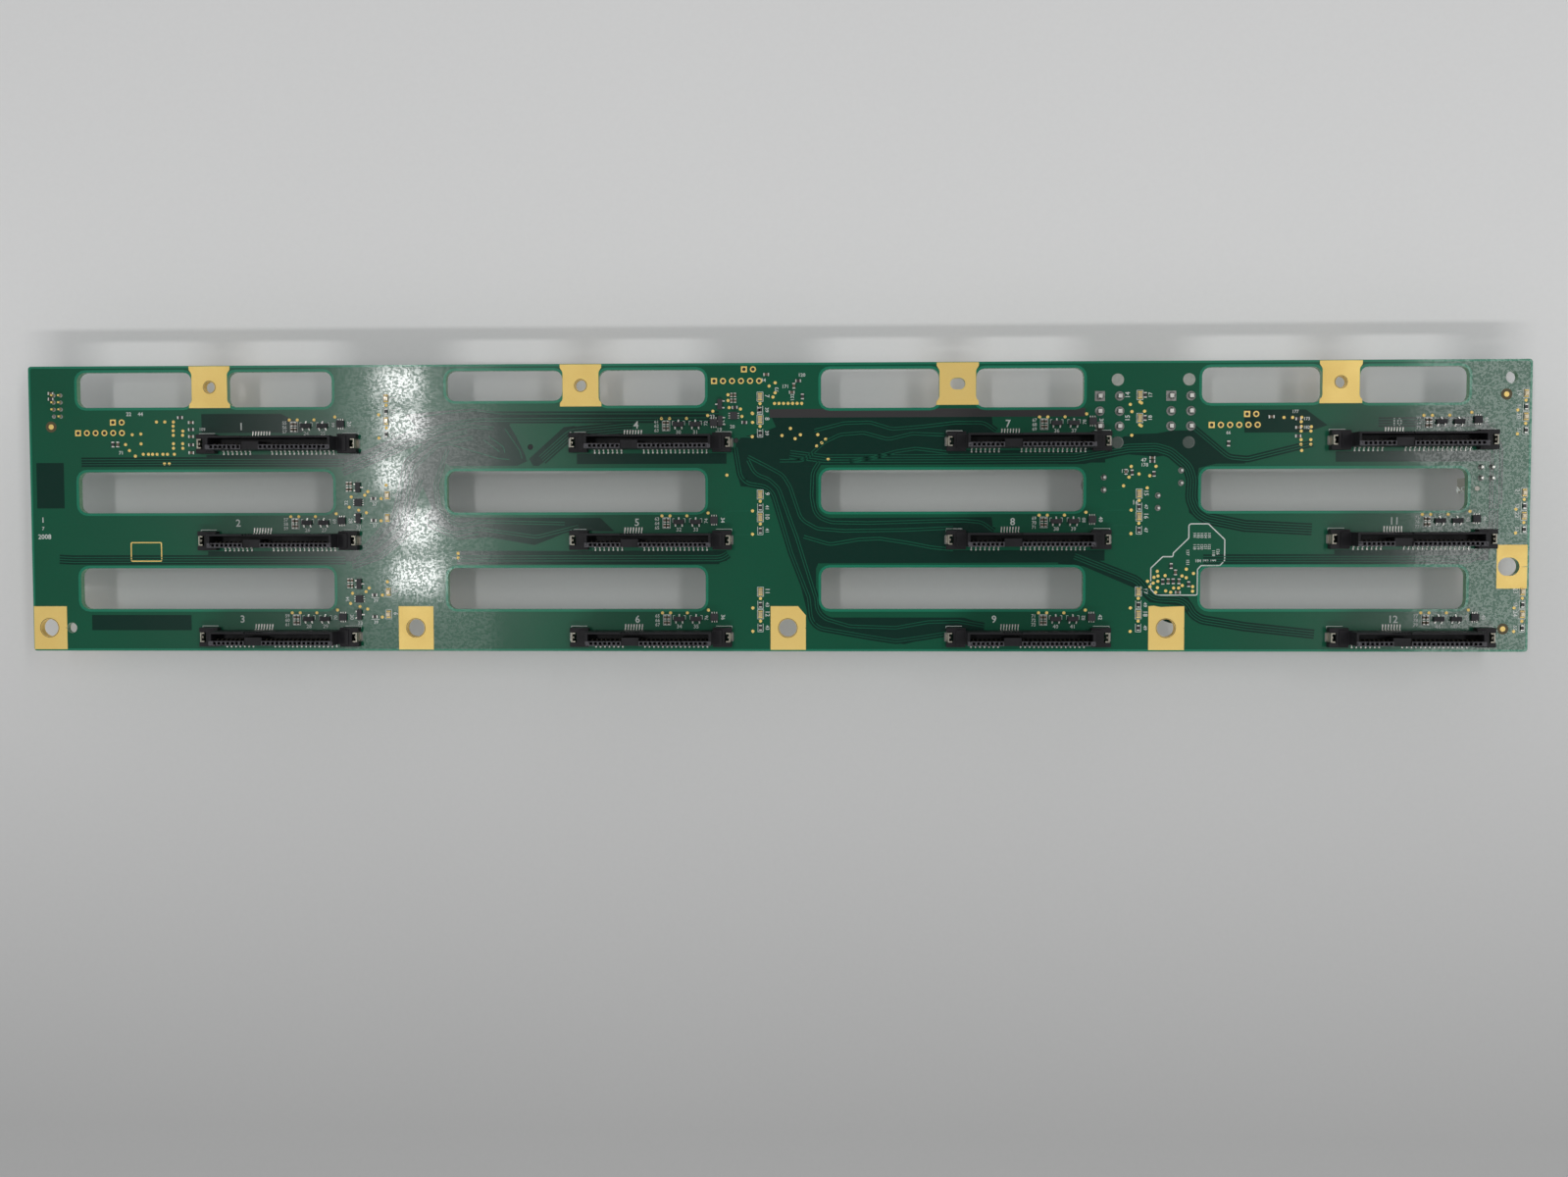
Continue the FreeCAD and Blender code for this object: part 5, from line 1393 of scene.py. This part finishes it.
class BACKPLANE_OT_rear(bpy.types.Operator):
    """Finishes of the rear headers, ports and capacitors, their solder joints and the capacitors' tops"""
    bl_idname = "backplane.rear"
    bl_label = "Rear Parts"

    def execute(self, context):
        paint = {
            "cable_port_%d_shell": finish("port_shell_nickel", (0.62, 0.62, 0.60), (0.46, 0.46, 0.45), rough=0.3,
                                          metallic=0.95, patch=180.0, grain=(4000.0, 0.4, 300.0, 0.4, 1.5)),
            "cable_port_%d_moulding": finish("port_moulding", (0.018, 0.018, 0.02), (0.01, 0.01, 0.011), rough=0.5),
            "power_header_%d_housing": finish("natural_nylon", (0.62, 0.60, 0.53), (0.54, 0.51, 0.43), rough=0.42,
                                              patch=90.0, grain=(5000.0, 0.5, 600.0, 0.5, 0.2)),
            "power_header_%d_pins": tin(),
            "capacitor_%d": finish("capacitor_sleeve", (0.018, 0.020, 0.034), (0.012, 0.013, 0.022), rough=0.32,
                                   coat=0.3, patch=120.0)}
        for pattern, mat in paint.items():
            for i in range(1, 4):
                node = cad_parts.get(pattern % i)
                if node:
                    dress(node.data, mat)
        white = finish("header_moulding", (0.55, 0.53, 0.47), (0.47, 0.44, 0.38), rough=0.45, patch=100.0)
        for name, mat in (("aux_header_housing", white), ("signal_header_housing", package_black()),
                          ("aux_header_pins", tin()), ("signal_header_pins", gold()), ("capacitor_leads", tin())):
            dress(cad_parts[name].data, mat)
        joint = solder()
        cone = finish_mesh(Stock().turned(0, 0, [(1.35, 0.0), (1.3, 0.08), (0.95, 0.35), (0.72, 0.8), (0.6, 1.15)], 16)
                           .mesh("cone"))
        pins = [(x + a, y + b, FRONT, 0.0) for x, y, _ in POWER_HEADERS for a in (-2.75, 2.75)
                for b in (-4.2, 0.0, 4.2)]
        copies("power_pin_joints", cone, pins, joint, play=0.5)
        peg = [(1.72, 0.0), (1.7, 0.05), (1.45, 0.09)]
        upper, lower = (on_front([(x + 2.2, PEG_Y + side * 8.75) for x, _, _ in POWER_HEADERS]) for side in (1, -1))
        copies("header_peg_ends", finish_mesh(Stock().turned(0, 0, peg, 24).mesh("peg")), upper,
               finish("nylon_peg_end", (0.40, 0.42, 0.38), (0.22, 0.25, 0.22), rough=0.5, patch=900.0))
        # painted shade: the lower peg ends are the same nylon as the upper ones, coloured dark grey-green for the
        # shadow that covers them
        copies("covered_peg_ends", finish_mesh(Stock().turned(0, 0, peg, 24).mesh("peg")), lower,
               finish("peg_end_painted_shade", (0.085, 0.105, 0.095), (0.035, 0.065, 0.05), rough=0.3, patch=900.0))
        first = finish_mesh(Stock().block(0, 0, 2.8, 2.8, 0.0, 0.06).mesh("first"), 0.03)
        copies("first_pin_pads", first, [(x - 2.75, y + 4.2, FRONT, 0.0) for x, y, _ in POWER_HEADERS], joint)
        small = finish_mesh(Stock().turned(0, 0, [(0.85, 0.0), (0.8, 0.06), (0.55, 0.3), (0.4, 0.75)], 12)
                            .mesh("small"))
        spots = on_front(four_round(*middle("aux_header_pins")[:2], 1.5, 1.5))
        for n in (1, 2, 3):
            cx, cy = middle("capacitor_%d" % n)[:2]
            spots += [(cx, cy - 1.75, FRONT, 0.0), (cx, cy + 1.75, FRONT, 0.0)]
        copies("small_pin_joints", small, spots, joint, play=0.5)
        sx, sy = middle("signal_header_pins")[:2]
        head = finish_mesh(Stock().turned(0, 0, [(0.6, 0.0), (0.55, 0.05), (0.36, 0.2), (0.3, 0.5)], 10).mesh("head"))
        heads = [(sx + a, sy + 2.0 * b, FRONT, 0.0) for a in (-1.0, 1.0) for b in (-1.5, -0.5, 0.5, 1.5)]
        copies("signal_pin_joints", head, heads, joint)
        top = Stock()
        for n in (1, 2, 3):
            lo, hi = low("capacitor_%d" % n), high("capacitor_%d" % n)
            cx, cy, r = (lo[0] + hi[0]) / 2, (lo[1] + hi[1]) / 2, (hi[0] - lo[0]) / 2
            top.turned(cx, cy, [(r * 0.86, lo[2] - 0.02), (r * 0.86, lo[2] + 0.05)], 28)
        can = finish("capacitor_can_metal", (0.66, 0.67, 0.68), (0.52, 0.53, 0.54), rough=0.3, metallic=0.95,
                     patch=200.0, grain=(3000.0, 0.3, 300.0, 0.3, 1.5))
        piece("capacitor_vent_tops", finish_mesh(top.mesh("tops")), can)
        return {"FINISHED"}


class BACKPLANE_OT_rear_detail(bpy.types.Operator):
    """Rear tracks, plated holes, decoupling parts, port contacts and printed outlines"""
    bl_idname = "backplane.rear_detail"
    bl_label = "Rear Detail"

    bundles = (
        (6, [(-62.0, -16.5), (-52.0, -12.4), (-24.0, -12.4), (-12.0, -17.0), (-10.5, -16.5)]),
        (6, [(-90.5, -16.5), (-98.0, -20.0), (-101.0, -30.0), (-101.0, -42.0), (-108.0, -48.2), (-160.0, -48.2)]),
        (4, [(-90.5, -14.0), (-112.0, -20.4), (-170.0, -20.4)]),
        (6, [(27.0, -14.6), (36.0, -11.6), (76.0, -11.6), (84.0, -16.0), (108.0, -20.6), (117.4, -30.0), (117.4, -37.0),
             (124.0, -41.0), (170.0, -41.0)]),
        (4, [(2.0, -21.0), (5.0, -32.0), (7.0, -50.0), (12.0, -68.0), (40.0, -70.4)]),
        (4, [(14.0, -20.8), (11.2, -25.0), (11.2, -40.0), (19.0, -48.2), (80.0, -48.2)]),
        (3, [(108.0, -46.0), (106.0, -58.0), (112.0, -66.0), (150.0, -69.0)]),
        (3, [(-60.0, -38.6), (-24.0, -38.6), (-13.8, -36.0), (-13.4, -22.0)]),
        (3, [(150.0, -11.0), (190.0, -11.0), (202.0, -18.0), (203.0, -52.0)]),
    )

    def execute(self, context):
        cleared = bpy.data.materials["mask_over_cleared_plane"]
        copper = bpy.data.materials["mask_over_tracks"]
        beds, lines = laid_bundles("rear_", self.bundles, REAR, cleared, copper, 0.05)
        joined("rear_track_corridors", beds, cleared)
        joined("rear_copper_tracks", lines, copper)

        metal = gold()
        d = sizes().via_diameter
        via = Stock().turned(0, 0, [(d * 0.14, -0.045), (d * 0.36, -0.06), (d / 2, -0.03), (d / 2, 0.0)], 12)
        spots = [(x, y, REAR, 0.0) for x, y in over_sockets(NEAR_VIAS) + over_sockets(STRING_VIAS, LEFT_CLUSTER) +
                 HEAD_VIAS + LEFT_VIAS + MIDDLE_VIAS + CORNER_VIAS]
        copies("rear_test_pads", finish_mesh(via.mesh("via")), spots, metal, play=0.6)
        back = REAR - PLATE_THICKNESS
        holes = [(x0 + RING_PITCH * i, y, back, 0.0) for (x0, y), count, _ in RING_ROWS for i in range(count)]
        holes += [(x + a, y, back, 0.0) for _, _, (x, y) in RING_ROWS for a in (0, PAIR_PITCH)]
        ring = Stock().ring(0, 0, 0.5, 0.86, 0.0, PLATE_THICKNESS, 18).mesh("ring")
        copies("rear_ringed_holes", finish_mesh(ring), holes, metal)
        # painted shade: near-black discs at the rear of the ringed holes stand for the shade inside each open hole
        bore = Stock().turned(0, 0, [(0.5, 0.032), (0.5, 0.05)], 16).mesh("bore")
        copies("rear_hole_bores", finish_mesh(bore), holes, bpy.data.materials["open_bore_painted_shade"])

        parts = [(x + a, y + b, REAR, turn) for x, y in SOCKETS.values()
                 for a, b, turn in ((-14.0, 8.6, 90.0), (-11.6, 8.6, 90.0), (3.0, 8.6, 90.0), (5.4, 8.6, 90.0))]
        for n in (1, 2, 3):
            px, py = middle("cable_port_%d_shell" % n)[:2]
            parts += [(px + a, py + 6.2, REAR, 90.0) for a in (-6.0, -4.4, -2.8, 2.8, 4.4, 6.0)
                      if n < 3 or abs(a) < 4]
        body = finish_mesh(Stock().block(0, 0, 1.0, 0.8, -0.5, -0.03).mesh("body"), 0.04)
        end = Stock().box(-0.8, -0.45, -0.42, 0.42, -0.52, 0.0).box(0.45, 0.8, -0.42, 0.42, -0.52, 0.0)
        copies("rear_capacitors", body, parts, ceramic(), play=0.04)
        copies("rear_capacitor_ends", finish_mesh(end.mesh("ends"), 0.05), parts, tin(), play=0.04)

        blades = []
        for n in (1, 2, 3):
            lo, hi = low("cable_port_%d_shell" % n), high("cable_port_%d_shell" % n)
            px, py, reach = (lo[0] + hi[0]) / 2, (lo[1] + hi[1]) / 2, (hi[0] - lo[0]) / 2 - 3.2
            count = int(2 * reach / 0.8) + 1
            blades += [(px + 0.8 * (i - (count - 1) / 2), py, lo[2], turn)
                       for i in range(count) for turn in (0.0, 180.0)]
        blade = finish_mesh(Stock().box(-0.17, 0.17, 0.72, 0.9, 0.9, 5.4).box(-0.17, 0.17, 0.55, 0.72, 1.6, 2.6)
                            .mesh("blade"), 0.03)
        copies("port_contacts", blade, blades, metal)

        ink = print_white(colours())
        routes, words = [], []
        for node, gap, text in ([("cable_port_%d_shell" % n, 1.0, str(30 + n)) for n in (1, 2, 3)] +
                                [("power_header_%d_housing" % n, 0.9, str(20 + n)) for n in (1, 2)] +
                                [("aux_header_housing", 0.8, "24"), ("signal_header_housing", 0.8, "25")]):
            lo, hi = low(node), high(node)
            x0, x1, y0, y1 = lo[0] - gap, hi[0] + gap, lo[1] - gap, min(hi[1] + gap, BOARD_TOP - 0.7)
            routes.append(box_route(x0, x1, y0, y1))
            words.append(word(text, x0 - 2.0, y0 + 1.4, 1.8, 0.0, -1))
        for n in (1, 2, 3):
            lo, hi = low("capacitor_%d" % n), high("capacitor_%d" % n)
            cx, cy, r = (lo[0] + hi[0]) / 2, (lo[1] + hi[1]) / 2, (hi[0] - lo[0]) / 2 + 0.5
            routes.append([(cx + r * math.cos(math.pi * i / 12), cy + r * math.sin(math.pi * i / 12))
                           for i in range(25)])
            words.append(word(str(n), cx, cy - r - 1.5, 1.6, 0.0, -1))
        for i, (x, y) in enumerate(SOCKETS.values()):
            words.append(word(str(i + 1), x - 17.4, y + 8.6, 2.0, 0.0, -1))
        outlines = strips("rear_outlines", routes, REAR, ink, 1, 1.0, 0.2, 0.03, 0.05)
        joined("rear_legend", words + [outlines], ink)
        return {"FINISHED"}


def floor_finish():
    """Pale floor with painted shade: its colour is a little darker towards its near side, standing in for the lamps'
    light falling off.
    """
    mat = finish("floor_laminate", (1.0, 1.0, 1.0), (0.93, 0.93, 0.93), rough=0.6, patch=3.0, fine=900.0, amount=0.4,
                 grain=(1500.0, 0.5, 200.0, 0.2, 0.0), specular=0.2)
    tree, shader = mat.node_tree, mat.node_tree.nodes["Principled BSDF"]
    pale = shader.inputs["Base Color"].links[0].from_socket
    place, parts, level = (tree.nodes.new(kind) for kind in (
        "ShaderNodeTexCoord", "ShaderNodeSeparateXYZ", "ShaderNodeMapRange"))
    # painted light falloff: the floor colour is scaled from 0.47 at the near side up to 0.92 at the far side
    for label, value in (("From Min", -0.22), ("From Max", 0.0), ("To Min", 0.47), ("To Max", 0.92)):
        level.inputs[label].default_value = value
    tree.links.new(place.outputs["Object"], parts.inputs[0])
    tree.links.new(parts.outputs[1], level.inputs["Value"])
    tree.links.new(mixed(tree, 1.0, pale, level.outputs[0], "MULTIPLY"), shader.inputs["Base Color"])
    return mat


FLOOR_HALF = 3.0
# a small lamp has the power that is set for each 1/500 of a square metre
SMALL_LAMP_DENSITY = 500


class BACKPLANE_OT_stage(bpy.types.Operator):
    """Floor, lamps, room light and camera"""
    bl_idname = "backplane.stage"
    bl_label = "Floor, Lamps and Camera"

    # name, x, y, width, length and share of the lamp power
    long_lamps = (("lamp_left", -0.52, 0.25, 0.2, 1.3, 0.11), ("lamp_right", 0.88, 0.25, 0.24, 1.3, 0.34),
                  ("lamp_front", 0.1, -1.25, 1.4, 0.4, 1.9))
    # x, y, width and length
    small_lamps = ((-0.53, 0.141, 0.055, 0.04), (-0.526, 0.088, 0.05, 0.035), (-0.54, 0.027, 0.032, 0.04),
                   (-0.509, -0.042, 0.045, 0.045), (-0.51, -0.103, 0.06, 0.04))

    def execute(self, context):
        stage = bpy.context.scene.backplane_stage
        bottom = CAD_BOX[0][2]
        data = bpy.data.meshes.new("floor")
        corners = box_route(-FLOOR_HALF, FLOOR_HALF, -FLOOR_HALF, FLOOR_HALF)[:4]
        data.from_pydata([(x, y, bottom) for x, y in corners], [], [(0, 1, 2, 3)])
        floor = bpy.data.objects.new("floor", data)
        bpy.context.scene.collection.objects.link(floor)
        data.materials.append(floor_finish())
        world = bpy.data.worlds.new("room")
        bpy.context.scene.world = world
        world.use_nodes = True
        sky = world.node_tree
        shade = sky.nodes["Background"]
        shade.inputs[0].default_value = (0.98, 0.99, 1.0, 1)
        place, parts, level = (sky.nodes.new(kind) for kind in (
            "ShaderNodeTexCoord", "ShaderNodeSeparateXYZ", "ShaderNodeMapRange"))
        for label, value in (("From Min", 0.35), ("From Max", 0.85), ("To Min", stage.room_level),
                             ("To Max", stage.room_level * 0.14)):
            level.inputs[label].default_value = value
        sky.links.new(place.outputs["Generated"], parts.inputs[0])
        sky.links.new(parts.outputs[2], level.inputs["Value"])
        sky.links.new(level.outputs[0], shade.inputs[1])
        lamps = [(name, x, y, width, length, share * stage.lamp_power)
                 for name, x, y, width, length, share in self.long_lamps]
        for i, (x, y, width, length) in enumerate(self.small_lamps):
            power = stage.small_lamp_power * width * length * SMALL_LAMP_DENSITY
            lamps.append(("lamp_small_%d" % (i + 1), x, y, width, length, power))
        for name, x, y, width, length, power in lamps:
            lamp = bpy.data.lights.new(name, "AREA")
            lamp.shape = "RECTANGLE"
            lamp.size, lamp.size_y = width, length
            lamp.energy = power
            lamp.color = (1.0, 1.0, 0.99)
            obj = bpy.data.objects.new(name, lamp)
            obj.location = (x, y, stage.lamp_height - (0.04 if "small" in name else 0.0))
            if name == "lamp_front":
                obj.rotation_euler = (math.radians(-35.0), 0, 0)
            bpy.context.scene.collection.objects.link(obj)
        view = bpy.data.cameras.new("camera")
        view.lens, view.sensor_width, view.sensor_fit = stage.lens, 36.0, "HORIZONTAL"
        view.clip_start, view.clip_end = 0.01, 20.0
        camera = bpy.data.objects.new("camera", view)
        right, back = Vector((0.99949, -0.00182, -0.03173)), Vector((0.03178, 0.04252, 0.99859))
        up = back.cross(right)
        turn = Matrix((right, up, back)).transposed().to_4x4()
        camera.matrix_world = Matrix.Translation(Vector((17.69, -39.57, 422.73)) * MM) @ turn
        bpy.context.scene.collection.objects.link(camera)
        bpy.context.scene.camera = camera
        bpy.context.scene.view_settings.view_transform = "Standard"
        return {"FINISHED"}


STEPS = (BACKPLANE_OT_board, BACKPLANE_OT_tracks, BACKPLANE_OT_gold, BACKPLANE_OT_sockets, BACKPLANE_OT_contacts,
         BACKPLANE_OT_small_parts, BACKPLANE_OT_legend, BACKPLANE_OT_rear, BACKPLANE_OT_rear_detail, BACKPLANE_OT_stage)


class BACKPLANE_PT_panel(bpy.types.Panel):
    """Lists the building steps and the values they use"""
    bl_idname = "BACKPLANE_PT_panel"
    bl_label = "Drive Backplane Board"
    bl_space_type = "VIEW_3D"
    bl_region_type = "UI"
    bl_category = "Backplane"

    def draw(self, context):
        for settings in (context.scene.backplane_sizes, context.scene.backplane_colours, context.scene.backplane_stage):
            box = self.layout.box()
            for name in settings.bl_rna.properties.keys():
                if name not in ("rna_type", "name"):
                    box.prop(settings, name)
        for step in STEPS:
            self.layout.operator(step.bl_idname)


CLASSES = (BackplaneSizes, BackplaneColours, BackplaneStage, *STEPS, BACKPLANE_PT_panel)


def register():
    for item in CLASSES:
        bpy.utils.register_class(item)
    bpy.types.Scene.backplane_sizes = PointerProperty(type=BackplaneSizes)
    bpy.types.Scene.backplane_colours = PointerProperty(type=BackplaneColours)
    bpy.types.Scene.backplane_stage = PointerProperty(type=BackplaneStage)


def unregister():
    for name in ("backplane_sizes", "backplane_colours", "backplane_stage"):
        delattr(bpy.types.Scene, name)
    for item in reversed(CLASSES):
        bpy.utils.unregister_class(item)


def main():
    register()
    for step in STEPS:
        group, action = step.bl_idname.split(".")
        getattr(getattr(bpy.ops, group), action)()
    bpy.context.view_layer.update()


if __name__ == "__main__":
    main()
